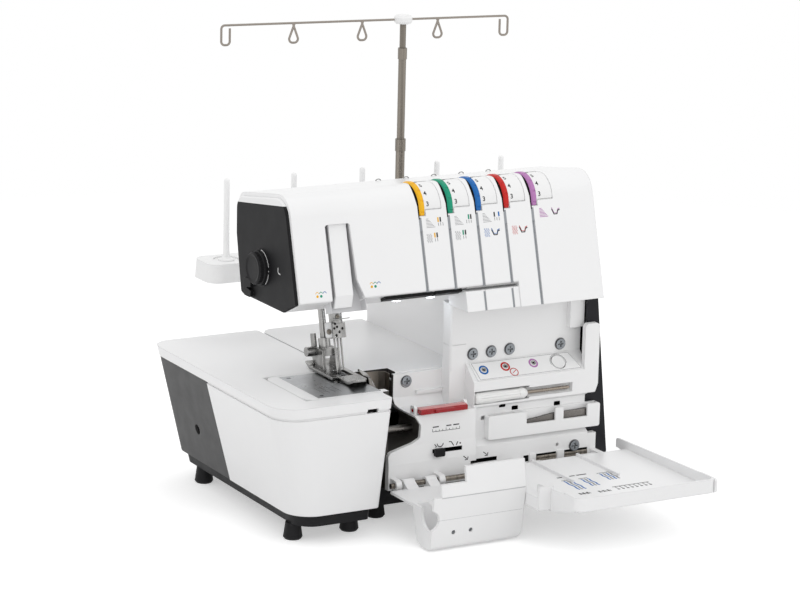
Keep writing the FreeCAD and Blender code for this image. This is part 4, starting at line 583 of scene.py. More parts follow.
def makePiece(name, finishName, shells, body="machine", smooth=False):
    points = np.concatenate([p for p, f in shells])
    starts = np.cumsum([0] + [len(p) for p, f in shells])
    faces = []
    for (p, blocks), start in zip(shells, starts):
        for block in blocks:
            faces += (block + start).tolist()
    mesh = bpy.data.meshes.new(name)
    mesh.from_pydata(toFrame(points).tolist(), [], faces)
    work = bmesh.new()
    work.from_mesh(mesh)
    bmesh.ops.remove_doubles(work, verts=work.verts, dist=weldReach)
    bmesh.ops.recalc_face_normals(work, faces=work.faces)
    work.to_mesh(mesh)
    work.free()
    if smooth:
        mesh.shade_smooth()
        mesh.set_sharp_from_angle(angle=sharpAngle)
    mesh.materials.append(finish[finishName])
    piece = addObject(name, mesh)
    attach(piece, body)
    return piece


# Faces that carry marks

headLean = math.radians(15.4)
headLip = (-6.0, 221.0)
portTop = np.array((26.0, 139.0))
portLow = np.array((9.0, 123.0))
portPlate = 1.2
headFace = faceFrame((0, *headLip), up=(0, math.sin(headLean), math.cos(headLean)))
portFace = faceFrame((0, *(portTop + portLow) / 2), up=(0, *(portTop - portLow)))
portFace["origin"] = portFace["origin"] + portFace["normal"] * portPlate
moduleFace = faceFrame((0, 5.0, 72.0), up=(0, 1, 28))
moduleFoot = faceFrame((0, 5.0, 72.0), up=(0, 2, 16))
lowFace = faceFrame((0, 3.0, 0))
sillFace = faceFrame((0, 7.0, 0))
trayFace = faceFrame((0, 0, 46.5), up=(0, 1, 0))
plateFace = faceFrame((0, 0, 133.0), up=(0, 1, 0))
capFace = faceFrame((0.5, 67.0, 240.0), (0, -1, 0))
ringFace = faceFrame((-0.5, 67.0, 240.0), (0, -1, 0))


# Numbers round the white drums of the tension dials

figureShare = 0.7  # height of a figure in the font's size
numberSet = {"height": 4.3, "thick": 0.06, "bold": 0.13, "fromRim": 3.5, "step": 26.2, "first": 43.8,
             "drum": 22.9}


def figure(text, height, thick, bold):
    # A printed figure as a thin flat solid: x across, y up, z out, in millimetres.
    curve = bpy.data.curves.new("figure", "FONT")
    curve.body = text
    curve.size = height / figureShare
    curve.extrude = thick
    curve.offset = bold
    curve.resolution_u = 3
    curve.align_x = "CENTER"
    curve.align_y = "CENTER"
    holder = addObject("figure", curve)
    graph = bpy.context.evaluated_depsgraph_get()
    mesh = bpy.data.meshes.new_from_object(holder.evaluated_get(graph))
    points = np.empty(len(mesh.vertices) * 3)
    mesh.vertices.foreach_get("co", points)
    faces = [np.array([polygon.vertices[:]]) for polygon in mesh.polygons]
    bpy.data.objects.remove(holder)
    bpy.data.curves.remove(curve)
    bpy.data.meshes.remove(mesh)
    return points.reshape(-1, 3), faces


def wrapOnDrum(points, centre, radius, angle):
    # Flat (x, y, z) points laid round a drum along X: y is an angle up from the front, z a larger radius.
    turn = np.radians(angle) + points[:, 1] / radius
    reach = radius + points[:, 2]
    places = (points[:, 0], -reach * np.cos(turn), reach * np.sin(turn))
    return np.asarray(centre) + np.stack(places, -1)


def dialCentre(number):
    low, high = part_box("tension_dial_%d" % number)
    return low.x * 1000 + middle[0], np.array((low + high) / 2) * 1000 + middle


def dialNumbers(number, s):
    left, centre = dialCentre(number)
    centre[0] = left + dialRimWidth + s["fromRim"]
    shells = []
    for digit in range(10):
        angle = s["first"] + (digit - 4) * s["step"]
        points, faces = figure(str(digit), s["height"], s["thick"], s["bold"])
        shells.append((wrapOnDrum(points, centre, s["drum"], angle), faces))
    makePiece("dial_numbers_%d" % number, "inkBlack", shells, "tension_dial_%d" % number)


for number in range(1, 6):
    dialNumbers(number, numberSet)
print("dial numbers done")


# Painted shade in the thread slots as grey strips, and a dark band of painted shade beside each dial

slotShadeSet = {"xs": (134.0, 164.0, 194.0, 224.0, 254.0), "width": 2.1, "top": 55.2, "rim": 67.4, "lip": -1.0,
            "low": 198.5, "blockTop": 215.5, "floor": -1.85, "sunk": -0.9, "blockSunk": -1.3,
            "rimWidth": 2.8, "overlap": 0.5, "edge": 0.2, "edgeWidth": 0.42}


def slotLiners(s):
    # A sunk grey strip down each slot with a thin rim at both sides, painted shade of the groove; the block
    # under two of them has its own.
    bottom = (s["low"] - headLip[1]) / math.cos(headLean)
    blockTop = (s["blockTop"] - headLip[1]) / math.cos(headLean)
    shells = []
    for i, x in enumerate(s["xs"]):
        start = bottom if i == 4 else s["lip"]
        strips = [(start, s["top"], s["sunk"])]
        if i in (2, 3):
            strips.append((bottom, blockTop, s["blockSunk"]))
        for low, high, sunk in strips:
            profile = flatBar(s["width"], s["floor"], sunk)
            shells.append(carry(onFace(headFace, ((x, low), (x, high))), headFace["normal"], profile))
        shells.append(inkLine(headFace, ((x, s["top"] - s["overlap"]), (x, s["rim"])), s["rimWidth"]))
        for side in (-1, 1):
            edge = x + side * (s["width"] / 2 + s["edge"])
            shells.append(inkLine(headFace, ((edge, start), (edge, s["top"])), s["edgeWidth"]))
    makePiece("thread_slot_shade", "slotGrey", shells)


slotLiners(slotShadeSet)

dialShadeSet = {"narrow": 0.4, "swell": 2.3, "right": 0.3, "from": 82.0, "to": 15.4, "foot": 12.5,
          "headRadius": 23.0, "low": -0.05, "high": 0.05, "bow": 0.85}


def dialGaps(s):
    # A band of painted shade down the head's rounded edge and on down its slope, with a width that
    # swells like a sine from the top to the foot.
    centre = dialCentre(1)[1]
    a = np.radians(np.linspace(s["from"], s["to"], 25))
    a = np.append(a, a[-1])
    down = np.append(np.zeros(25), s["foot"])
    out = np.stack((-np.cos(a), np.sin(a)), -1)
    slide = np.stack((-np.sin(a), -np.cos(a)), -1)
    wide = s["narrow"] + s["swell"] * np.sin(s["bow"] * np.pi * np.linspace(0, 1, len(a)))
    shells = []
    for x in slotShadeSet["xs"]:
        left = x - wide
        right = np.full(len(a), x - s["right"])
        corners = []
        for across, lift in ((left, s["low"]), (right, s["low"]), (right, s["high"]), (left, s["high"])):
            place = centre[1:] + out * (s["headRadius"] + lift) + slide * down[:, None]
            corners.append(np.column_stack((across, place)))
        shells.append(closedTube(np.stack(corners, 1)))
    makePiece("dial_gaps", "deepBlack", shells)


dialGaps(dialShadeSet)


# Grey well behind the take-up cover, so that its window doesn't open on the dark inside of the head

wellSet = {"left": 35.5, "high": 68.4, "front": -3.1, "back": -13.0, "behindStrip": -7.0,
           "wall": 0.8, "flare": ((-11.0, 70.6), (-2.1, 70.6), (16.6, 63.8), (68.4, 61.6))}


def takeUpWell(s):
    # A U of two sides and a back at each height; the right side follows the window's flare.
    v, right = np.array(s["flare"]).T
    left = np.full_like(v, s["left"])
    front = s["front"]
    back = s["back"]
    w = s["wall"]
    plan = ((left - w, front), (left - w, back - w), (right + w, back - w), (right + w, front),
            (right, front), (right, back), (left, back), (left, front))
    walls = [onFace(headFace, np.stack((x, v), -1)) + n * headFace["normal"] for x, n in plan]
    strip = s["behindStrip"]
    lid = ((s["left"], strip), (s["left"], back), (right[-1], back), (right[-1], strip))
    ends = [[onFace(headFace, (x, height)) + n * headFace["normal"] for x, n in lid]
            for height in (s["high"] - w, s["high"])]
    makePiece("take_up_well", "softGrey", [closedTube(np.stack(walls, 1)), closedTube(np.array(ends))])


takeUpWell(wellSet)


# Small threading signs on the front of the head, beside each slot

signSet = {"fabricRows": 7, "fabricPitch": 1.3, "fabricLong": 9.0, "fabricShort": 2.6, "upper": 57.8,
           "lower": 43.9, "line": 0.42, "bar": 1.5, "waveHigh": 8.0, "waveWide": 0.7, "wavePitch": 1.9,
           "needlePitch": 2.4, "shank": (4.2, 8.6), "tip": (0.6, 3.6), "hook": 1.2, "hookThread": 0.7,
           "hookShape": ((0, 6.5), (2.2, 1.4), (5.4, 1.4), (6.4, 4.6), (8.6, 5.4)), "hookLift": 1.2,
           "clothAt": 6.0, "upperNeedles": 18.6, "lowerNeedles": 13.6, "looperWave": 7.0, "lowerHook": 14.0,
           "lastCloth": 7.5, "lastLine": 0.672, "upperHook": 21.0}


def fabricSign(x, v, s):
    # Rows of thread that grow shorter upwards, like a fold of cloth.
    lengths = np.linspace(s["fabricLong"], s["fabricShort"], s["fabricRows"])
    heights = v + s["fabricPitch"] * np.arange(s["fabricRows"])
    return [((x, height), (x + length, height)) for height, length in zip(heights, lengths)]


def waveSign(x, v, s):
    # Upright stitch lines: a sine across as the line runs up.
    t = np.linspace(0, 1, 25)
    wave = np.stack((x + s["waveWide"] * np.sin(6 * np.pi * t), v + s["waveHigh"] * t), -1)
    return [wave + (k * s["wavePitch"], 0) for k in range(3)]


def needleSign(x, v, span, s):
    places = x + s["needlePitch"] * np.arange(3)
    return [((place, v + span[0]), (place, v + span[1])) for place in places]


def hookSign(x, v, s):
    # A looper: a foot, a leaning stem and a bent beak.
    return [np.array(s["hookShape"]) + (x, v)]


def threadingSigns(s):
    grey = []
    black = []
    tinted = {name: [] for name in dialSet}

    def draw(pile, lines, width):
        pile += inkLines(headFace, lines, width)

    def drawHook(own, x, v):
        draw(own, hookSign(x, v + s["hookLift"], s), s["hookThread"])
        draw(black, hookSign(x, v, s), s["hook"])

    for i, (own, x) in enumerate(zip(tinted.values(), slotShadeSet["xs"])):
        if i < 3:
            draw(grey, fabricSign(x + s["clothAt"], s["upper"], s), s["line"])
            place = (x + s["upperNeedles"], s["upper"])
            shanks = needleSign(*place, s["shank"], s)
            draw(own, [shanks[i]], s["bar"])
            draw(black, needleSign(*place, s["tip"], s), s["line"])
            draw(black, [shanks[(i + 1) % 3]], s["bar"])
        if i < 2:
            draw(grey, waveSign(x + s["clothAt"], s["lower"], s), s["line"])
            place = (x + s["lowerNeedles"], s["lower"])
            shanks = needleSign(*place, s["shank"], s)
            draw(own, shanks[:1], s["bar"])
            draw(black, shanks[1:2], s["bar"])
            draw(black, needleSign(*place, s["tip"], s)[:2], s["line"])
        if i in (2, 3):
            draw(own, waveSign(x + s["looperWave"], s["lower"], s), s["line"])
            drawHook(own, x + s["lowerHook"], s["lower"])
        if i == 4:
            draw(own, fabricSign(x + s["lastCloth"], s["upper"], s), s["lastLine"])
            drawHook(own, x + s["upperHook"], s["upper"])
    makePiece("threading_signs_grey", "inkGrey", grey)
    makePiece("threading_signs_black", "inkBlack", black)
    for name, shells in tinted.items():
        makePiece("threading_signs_" + name, "ink" + name.capitalize(), shells)


threadingSigns(signSet)

routeSet = {"starts": ((19.4, 8.0), (75.2, 11.8)), "arch": 3.4, "gap": 0.4, "rise": 1.5, "dot": 1.25,
            "drop": 2.4, "line": 0.6, "colours": ("yellow", "green", "blue")}


def routeMarks(s):
    # Small coloured arches, half a sine each, over dots: which thread runs where.
    t = np.linspace(0, 1, 13)
    for k, colour in enumerate(s["colours"]):
        shells = []
        for u, v in s["starts"]:
            start = u + k * (s["arch"] + s["gap"])
            arch = np.stack((start + s["arch"] * t, v + s["rise"] * np.sin(np.pi * t)), -1)
            shells.append(inkLine(headFace, arch, s["line"]))
            if k < 2:
                shells.append(inkDot(headFace, (start + s["arch"] / 2, v - s["drop"]), s["dot"]))
        makePiece("route_marks_" + colour, "ink" + colour.capitalize(), shells)


routeMarks(routeSet)

knobSet = {"radius": 16.75, "width": 0.8, "arcs": ((12, 88), (-52, -10)), "dot": 0.6,
           "sign": ((33.5, 6.9), (33.5, 3.1), (34.7, 1.9), (38.1, 1.5)), "signWidth": 0.9}


def knobMarks(s):
    shells = [inkLine(ringFace, arc((0, 0), s["radius"], a, b), s["width"]) for a, b in s["arcs"]]
    shells.append(inkDot(ringFace, (s["radius"], 0), s["dot"]))
    shells.append(inkLine(capFace, s["sign"], s["signWidth"]))
    makePiece("pressure_scale", "inkWhite", shells)


knobMarks(knobSet)
print("head marks done")


# Thread ports, their rings and the outline of the port panel

portSet = {"ports": ((210.0, 1.0, "Blue"), (234.0, 2.0, "Red"), (241.0, -5.0, "Red"),
                     (265.0, 2.0, "Violet")),
           "plugged": 2, "plugRing": 0.8, "slash": ((-2.2, -1.5), (2.2, 1.5)), "slashWidth": 0.7,
           "ring": 4.1, "ringWidth": 1.7, "boss": 1.8, "button": (292.0, 0.0), "buttonRing": 8.6,
           "eyelet": ((2.5, -0.2), (2.5, 0.25), (2.1, 0.5), (1.55, 0.3), (1.5, -0.2)),
           "depth": ((1.45, -1.0), (1.45, -0.4)), "plug": ((3.2, -0.1), (3.2, 0.7), (2.9, 0.9)),
           "outlineWidth": 0.35, "buttonArc": (-15, 195), "buttonWidth": 0.45,
           "corners": ((202.5, -9.2), (314.2, -9.2), (306.2, 9.2), (199.8, 9.2))}


def portMarks(s):
    # Coloured rings, an eyelet turned on each open port, and a plug with a red stroke on the closed one.
    lift = s["boss"] - portPlate
    eyelets = []
    holeShades = []
    for k, (u, v, colour) in enumerate(s["ports"]):
        place = np.array((u, v))
        if k == s["plugged"]:
            top = portFace["normal"] * s["plug"][-1][1]
            raised = dict(portFace, origin=portFace["origin"] + top)
            shells = [inkRing(portFace, place, s["ring"], s["plugRing"]),
                      inkLine(raised, place + s["slash"], s["slashWidth"])]
            makePiece("port_plug", "satinWhite", [turned(s["plug"], portFace, place)], smooth=True)
        else:
            shells = [inkRing(portFace, place, s["ring"], s["ringWidth"])]
            eyelets.append(turned(np.array(s["eyelet"]) + (0, lift), portFace, place))
            # A black cylinder down each open port: painted shade inside the hole.
            holeShades.append(turned(s["depth"], portFace, place, 20))
        makePiece("port_ring_%d" % (k + 1), "ink" + colour, shells)
    makePiece("port_eyelets", "brightSteel", eyelets, smooth=True)
    makePiece("port_hole_shade", "deepBlack", holeShades)
    loop = s["corners"] + s["corners"][:1]
    outline = inkLines(portFace, zip(loop, loop[1:]), s["outlineWidth"])
    bow = arc(s["button"], s["buttonRing"], *s["buttonArc"], 41)
    outline.append(inkLine(portFace, bow, s["buttonWidth"]))
    makePiece("port_panel_outline", "inkGrey", outline)


portMarks(portSet)


# Scale and signs beside the lever and the slots of the front chassis

scaleSet = {"from": 149.3, "to": 178.4, "line": 10.6, "ticks": 9, "tick": 1.6, "longTick": 2.56,
            "words": ((149.5, 156.0), (164.0, 169.5), (171.5, 178.0)), "wordLift": 4.4,
            "bowl": ((157.5, -1.2), 3.2, 180, 360), "dot": (179.0, -3.4),
            "hooks": (((151.5, -1.4), (153.6, -4.2), (152.2, -4.4)),
                      ((167.0, -0.8), (169.4, -1.0), (172.0, -5.0)), ((174.6, -4.8), (176.6, -1.6))),
            "arrows": ((lowFace, (182.0, 52.0)), (sillFace, (206.0, 52.0))),
            "shaft": ((0, 3.8), (4.0, 0.8)), "barb": ((1.6, 0), (4.6, 0), (5.0, 2.8)), "dotRadius": 0.8,
            "widths": {"line": 0.5, "tick": 0.45, "word": 1.1, "bowl": 0.85, "hook": 0.95, "shaft": 0.8,
                       "barb": 0.9}}


def chassisMarks(s):
    wide = s["widths"]
    line = s["line"]
    shells = [inkLine(moduleFace, ((s["from"], line), (s["to"], line)), wide["line"])]
    for k, u in enumerate(np.linspace(s["from"], s["to"], s["ticks"])):
        reach = s["longTick"] if k % 4 == 0 else s["tick"]
        shells.append(inkLine(moduleFace, ((u, line), (u, line + reach)), wide["tick"]))
    word = line + s["wordLift"]
    shells += inkLines(moduleFace, [((a, word), (b, word)) for a, b in s["words"]], wide["word"])
    shells.append(inkLine(moduleFoot, arc(*s["bowl"]), wide["bowl"]))
    shells += inkLines(moduleFoot, s["hooks"], wide["hook"])
    shells.append(inkDot(moduleFoot, s["dot"], s["dotRadius"]))
    for face, place in s["arrows"]:
        for stroke in ("shaft", "barb"):
            shells.append(inkLine(face, np.array(s[stroke]) + place, wide[stroke]))
    makePiece("chassis_signs", "inkBlack", shells)


chassisMarks(scaleSet)

seatShadeSet = {"wall": 26.0, "row": ((202.4, 147.1), (222.6, 147.4), (242.9, 147.7), (299.2, 146.8)),
           "sill": 7.0, "low": (307.0, 50.0), "lip": 41.0, "high": (140.0, 123.5),
           "radius": 5.5, "width": 1.0}


def screwSeats(s):
    # Grey rings round the chassis screws: painted shade of the recess round each head.
    places = [(s["wall"], place) for place in s["row"]] + [(s["sill"], s["low"]), (s["lip"], s["high"])]
    shells = []
    for y, place in places:
        face = faceFrame((0, y, 0))
        shells.append(inkRing(face, place, s["radius"], s["width"]))
    makePiece("screw_seat_shade", "inkGrey", shells)


screwSeats(seatShadeSet)

sleeveShadeSet = {"slots": ((149.0, 181.0, 62.0, 66.0, 4.6, 15.8), (190.0, 221.0, 46.0, 50.0, 7.4, 15.8),
                       (226.0, 233.0, 95.0, 99.0, 14.2, 21.8), (240.0, 247.0, 91.0, 95.0, 14.2, 21.8),
                       (287.0, 294.0, 90.0, 94.0, 14.2, 21.8)), "thick": 0.2, "gap": 0.02}


def darkSleeve(left, right, low, high, front, back, thick, gap):
    # Thin black walls and a floor lining a slot, painted shade of its inside: rings of four corners, from
    # the floor up inside and down outside.
    inner = gap + thick
    rings = []
    for inset, y in ((inner, back - thick), (inner, front), (gap, front), (gap, back)):
        xs = (left + inset, right - inset)
        zs = (low + inset, high - inset)
        rings.append([(xs[a], y, zs[b]) for a, b in ((0, 0), (1, 0), (1, 1), (0, 1))])
    return closedTube(np.array(rings))


def slotSleeves(s):
    shells = [darkSleeve(*slot, s["thick"], s["gap"]) for slot in s["slots"]]
    makePiece("slot_shade_sleeves", "deepBlack", shells)


slotSleeves(sleeveShadeSet)
print("chassis marks done")


# Threading chart printed in the open front cover

chartSet = {"title": ((240.8, 251.646), (254.198, 259.94), (261.854, 272.7)), "titleRow": -68.6,
            "blocks": ((241.0, -80.0, 3, 28.0), (259.0, -81.0, 3, 22.0), (284.0, -73.5, 4, 20.0)),
            "pitch": 3.4, "sway": 0.5, "line": 1.7,
            "rows": ((234.0, 4.0, -122.0), (254.0, 14.0 / 3, -123.5)),
            "comb": (272.0, 312.0, -120.0, 8), "toothHigh": 6.0, "dot": 1.3, "dotDrop": 1.8,
            "strokeGap": 2.1, "strokeHigh": 5.0, "shortHigh": 3.5, "headRise": 2.0, "headOver": (1.5, -2.0),
            "widths": {"title": 2.2, "head": 1.0, "stroke": 1.9, "short": 1.1, "comb": 1.1, "tooth": 1.3}}


def coverChart(s):
    # Title bars, blocks of threads that sway like a sine, short paired strokes, and a comb with dots.
    wide = s["widths"]
    row = s["titleRow"]
    black = inkLines(trayFace, [((a, row), (b, row)) for a, b in s["title"]], wide["title"])
    blue = []
    grey = []
    t = np.linspace(0, 1, 21)
    for u, v, count, length in s["blocks"]:
        for k in range(count):
            thread = np.stack((u + s["pitch"] * k + s["sway"] * np.sin(4 * np.pi * t), v - length * t), -1)
            (blue if k % 2 == 0 else grey).append(inkLine(trayFace, thread, s["line"]))
        ends = (u - s["headOver"][0], u + s["pitch"] * count + s["headOver"][1])
        head = [(end, v + s["headRise"]) for end in ends]
        black.append(inkLine(trayFace, head, wide["head"]))
    for start, step, v in s["rows"]:
        for k in range(3):
            u = start + k * step
            beside = u + s["strokeGap"]
            black.append(inkLine(trayFace, ((u, v), (u, v + s["strokeHigh"])), wide["stroke"]))
            short = ((beside, v), (beside, v + s["shortHigh"]))
            grey.append(inkLine(trayFace, short, wide["short"]))
    u0, u1, v, count = s["comb"]
    top = v + s["toothHigh"]
    black.append(inkLine(trayFace, ((u0, top), (u1, top)), wide["comb"]))
    for k in range(count):
        u = u0 + (k + 0.5) * (u1 - u0) / count
        grey.append(inkLine(trayFace, ((u, v), (u, top)), wide["tooth"]))
        black.append(inkDot(trayFace, (u, v - s["dotDrop"]), s["dot"]))
    for tint, shells in (("black", black), ("blue", blue), ("grey", grey)):
        makePiece("cover_chart_" + tint, "ink" + tint.capitalize(), shells, "cover")


coverChart(chartSet)

hingeSet = {"slots": ((250.5, 256.0), (264.0, 287.0), (296.0, 322.0)), "low": 40.5, "high": 46.6,
            "rod": (42.0, 2.6, 0.9), "lugs": (260.0, 291.5), "lug": (4.0, 4.4), "lugMid": 43.4,
            "lugLayers": ((0, -0.2), (0, 1.1), (0.4, 1.5)), "rodSink": 0.02, "rodGap": 0.2}


def hingeWindows(s):
    # The hinge as it shows at the foot of the chassis: dark slots of painted shade, a half-round of the rod,
    # lugs between.
    middleLine = (s["low"] + s["high"]) / 2
    spans = [((a, middleLine), (b, middleLine)) for a, b in s["slots"]]
    makePiece("hinge_slot_shade", "deepBlack", inkLines(sillFace, spans, s["high"] - s["low"]))
    height, radius, deep = s["rod"]
    t = np.linspace(0, np.pi, 17)
    profile = np.stack((radius * np.cos(t), deep * np.sin(t) - s["rodSink"]), -1)
    rods = []
    for a, b in s["slots"][1:]:
        path = onFace(sillFace, ((a + s["rodGap"], height), (b - s["rodGap"], height)))
        rods.append(carry(path, sillFace["normal"], profile))
    makePiece("hinge_rod_seen", "poleSteelPaintedReflection", rods, smooth=True)
    lugs = [plate(sillFace, (x, s["lugMid"]), s["lug"], s["lugLayers"]) for x in s["lugs"]]
    makePiece("hinge_lugs", "satinWhite", lugs, smooth=True)


hingeWindows(hingeSet)

noseSet = {"screws": (118.0, 136.0), "screwZ": 17.5, "fold": (-95.0, 53.0), "low": (-89.0, 1.5),
           "seam": (100.0, 189.0, -22.5, 0.35), "foldShadow": (103.0, 190.5, -0.8, 1.0),
           "head": ((1.9, -2.6), (1.9, -1.2), (1.5, -0.8), (0.7, -0.8), (0.6, -1.4))}


def noseDetails(s):
    # The nose front runs between its fold and its lower edge; the screws sit just inside their holes.
    slope = np.array(s["fold"]) - s["low"]
    face = faceFrame((0, *s["fold"]), up=(0, *slope))
    down = (s["screwZ"] - s["fold"][1]) * np.linalg.norm(slope) / slope[1]
    heads = [turned(s["head"], face, (x, down)) for x in s["screws"]]
    makePiece("nose_screws", "zincScrew", heads, "cover", True)
    # The line at the seam is a joint; the line just under the fold is a painted shadow.
    lines = [inkLine(face, ((a, v), (b, v)), width) for a, b, v, width in (s["seam"], s["foldShadow"])]
    makePiece("nose_seam_and_fold_shadow", "inkPale", lines, "cover")


noseDetails(noseSet)


# Needle plate: two screws and the seam guide lines

plateSet = {"screws": ((29.0, -1.0), (29.0, 65.0)), "slot": (1.64, 0.5),
            "head": ((2.05, -1.8), (2.05, -0.25), (1.75, -0.05), (0.85, 0.0)),
            "lines": (34.0, 40.0, 46.0, 52.0), "from": 4.0, "to": 26.0, "ticks": (10.0, 15.0, 20.0),
            "widths": (0.6, 0.3, 0.25)}


def plateDetails(s):
    heads = [turned(s["head"], plateFace, place) for place in s["screws"]]
    makePiece("plate_screws", "zincScrew", heads, smooth=True)
    # Black strokes across the screw heads: painted shade of their slots.
    slots = [(np.subtract(place, s["slot"]), np.add(place, s["slot"])) for place in s["screws"]]
    lines = [((x, s["from"]), (x, s["to"])) for x in s["lines"]]
    ticks = [((s["lines"][0], y), (s["lines"][-1], y)) for y in s["ticks"]]
    marks = []
    for strokes, width in zip((slots, lines, ticks), s["widths"]):
        marks += inkLines(plateFace, strokes, width)
    makePiece("plate_guide_lines", "inkBlack", marks)


plateDetails(plateSet)


# Needle clamp: painted shade of the set screws' holes, the collar's screw, and the white threader lever at
# its left

clampSet = {"middle": (76.0, 56.2, 179.1), "lean": 14.5, "hole": 1.15,
            "holes": ((-3.7, 3.2), (-2.0, 0.2), (-5.0, -0.9)), "lever": (-9.6, -2.0),
            "leverHalf": (3.6, 7.0), "leverLayers": ((0.0, -3.2), (0.0, -1.9), (0.4, -1.5)),
            "pivot": (-10.0, -3.6), "collar": (-1.0, 9.8),
            "pivotHead": ((2.5, -1.7), (2.5, -0.9), (2.1, -0.5), (1.4, -0.6), (1.2, -1.2)),
            "collarHead": ((1.9, -1.0), (1.9, 1.6), (1.5, 2.0), (0.7, 2.0), (0.6, 1.4))}


def clampDetails(s):
    # Everything lies on the clamp's front, which leans back as the needle bar does.
    lean = math.radians(s["lean"])
    face = faceFrame(s["middle"], up=(0, math.sin(lean), math.cos(lean)))
    # Black dots: painted shade of the set screws' holes.
    holes = [inkDot(face, place, s["hole"]) for place in s["holes"]]
    makePiece("clamp_set_screw_shade", "deepBlack", holes, "needle_drive")
    lever = plate(face, s["lever"], s["leverHalf"], s["leverLayers"])
    makePiece("threader_lever", "satinWhite", [lever], "needle_drive", True)
    screws = [turned(s["pivotHead"], face, s["pivot"]), turned(s["collarHead"], face, s["collar"])]
    makePiece("clamp_screws", "poleSteelPaintedReflection", screws, "needle_drive", True)


clampDetails(clampSet)


# Dark iron shield behind the loopers, the cove behind the screwdriver, and the looper screws

shieldSet = {"outline": ((88.6, 59.8), (121.0, 59.8), (125.4, 55.0), (125.4, 46.6)), "thick": 0.7,
             "low": 101.0, "high": 131.4, "plate": ((88.6, 59.8), (125.6, 59.8)),
             "plateLow": 74.0, "gap": 0.2}


def looperShield(s):
    # A folded sheet: its plan outline out and back again, a sheet's thickness apart, drawn straight up.
    shells = []
    for outline, low, high in ((s["outline"], s["low"], s["high"]),
                               (s["plate"], s["plateLow"], s["low"] - s["gap"])):
        outer = np.array(outline)
        plan = np.concatenate((outer, outer[::-1] - s["thick"]))
        shells.append(drawnOut(plan, 2, (low, high)))
    makePiece("looper_shield", "darkIron", shells)


looperShield(shieldSet)

cradleSet = {"from": 254.2, "to": 303.8, "front": 9.1, "deep": 5.8, "mid": 108.0, "half": 4.3, "back": 17.8}


def driverCradle(s):
    # A half-round cove behind the screwdriver's shaft: a half ellipse in section, closed by a flat back.
    t = np.linspace(-np.pi / 2, np.pi / 2, 21)
    cove = np.stack((s["front"] + s["deep"] * np.cos(t), s["mid"] + s["half"] * np.sin(t)), -1)
    back = ((s["back"], s["mid"] + s["half"]), (s["back"], s["mid"] - s["half"]))
    shell = drawnOut(np.concatenate((cove, back)), 0, (s["from"], s["to"]))
    makePiece("driver_cradle", "satinWhite", [shell], smooth=True)


driverCradle(cradleSet)

looperScrewSet = {"upper_looper": ((118.0, 51.0, 90.0), 3.4), "lower_looper": ((106.0, 44.0, 84.0), 3.0)}
looperHead = ((0, -0.3), (0, 1.2), (-0.5, 1.7), (-1.6, 1.8), (-1.9, 1.0))


def looperScrew(looper, place, radius):
    head = turned(np.array(looperHead) + (radius, 0), faceFrame(place), (0, 0))
    makePiece(looper + "_screw", "zincScrew", [head], looper, True)


for looper, (place, radius) in looperScrewSet.items():
    looperScrew(looper, place, radius)

pinSet = {"xs": (37.0, 109.0, 184.0, 268.0, 342.0), "y": 215.0, "low": 213.0,
          "profile": ((7.8, 0.0), (7.8, 1.0), (7.2, 1.6), (4.7, 2.2), (3.8, 3.6), (3.3, 7.0), (3.05, 12.0),
                      (2.9, 40.0), (2.75, 77.2), (2.55, 78.4), (2.1, 79.2), (1.4, 79.75), (0.6, 79.95))}


def spoolPins(s):
    # A flared foot, a slim stem and a round tip, turned about each upright axis.
    stand = faceFrame((0, s["y"], s["low"]), up=(0, 1, 0))
    pins = [turned(s["profile"], stand, (x, 0)) for x in s["xs"]]
    piece = makePiece("moulded_spool_pins", "milkyPin", pins, smooth=True)
    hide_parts("spool_pins")


spoolPins(pinSet)

topGuideSet = {"xs": (140.0, 170.0, 200.0, 230.0, 260.0), "y": 103.0, "z": 303.1, "half": 2.6, "rise": 1.7,
               "wire": 0.45, "sweep": (-25, 205)}


def topGuides(s):
    # Wire arches on the head: half an ellipse each, with the feet run a little into the shell.
    turn = np.radians(np.linspace(*s["sweep"], 25))
    profile = s["wire"] * arc((0, 0), 1.0, 0, 360, 11)[:-1]
    shells = []
    for x in s["xs"]:
        across = x + s["half"] * np.cos(turn)
        path = np.stack((across, np.full(25, s["y"]), s["z"] + s["rise"] * np.sin(turn)), -1)
        shells.append(carry(path, (0, 1, 0), profile))
    makePiece("top_thread_guides", "brightSteel", shells, smooth=True)


topGuides(topGuideSet)

# Marks on the dark right side: scales round the dials, turning arrow, switch signs

sideSet = {"foot": (350.0, 0, 32.0), "slope": (-17.0, 0, 164.0), "dialZ": 62.0, "dialFront": 351.84,
           "dials": {"stitch_length_dial": 52.0, "differential_feed_dial": 92.0},
           "ticks": 9, "sweep": 120, "tick": (16.4, 18.6), "shortTick": 17.7, "wheel": (105.0, 118.0),
           "wheelDish": 368.0, "arrow": (42.5, 48, 84), "barbs": ((-1.2, 4.6), (0, 0), (-5.2, 1.2)),
           "switch": (341.72, 98.0), "on": (184.0, -1.5), "off": (196.0, 1.5), "rockerHalf": 12.5,
           "tickWidth": 0.55, "arrowWidth": 1.0, "dialMark": (((0, 5.0), (0, 10.0)), 1.2),
           "wheelMark": (((0, 13.0), (0, 21.0)), 1.4), "onSign": (((0, -3.0), (0, 3.0)), 0.9),
           "offSign": (2.6, 0.9)}


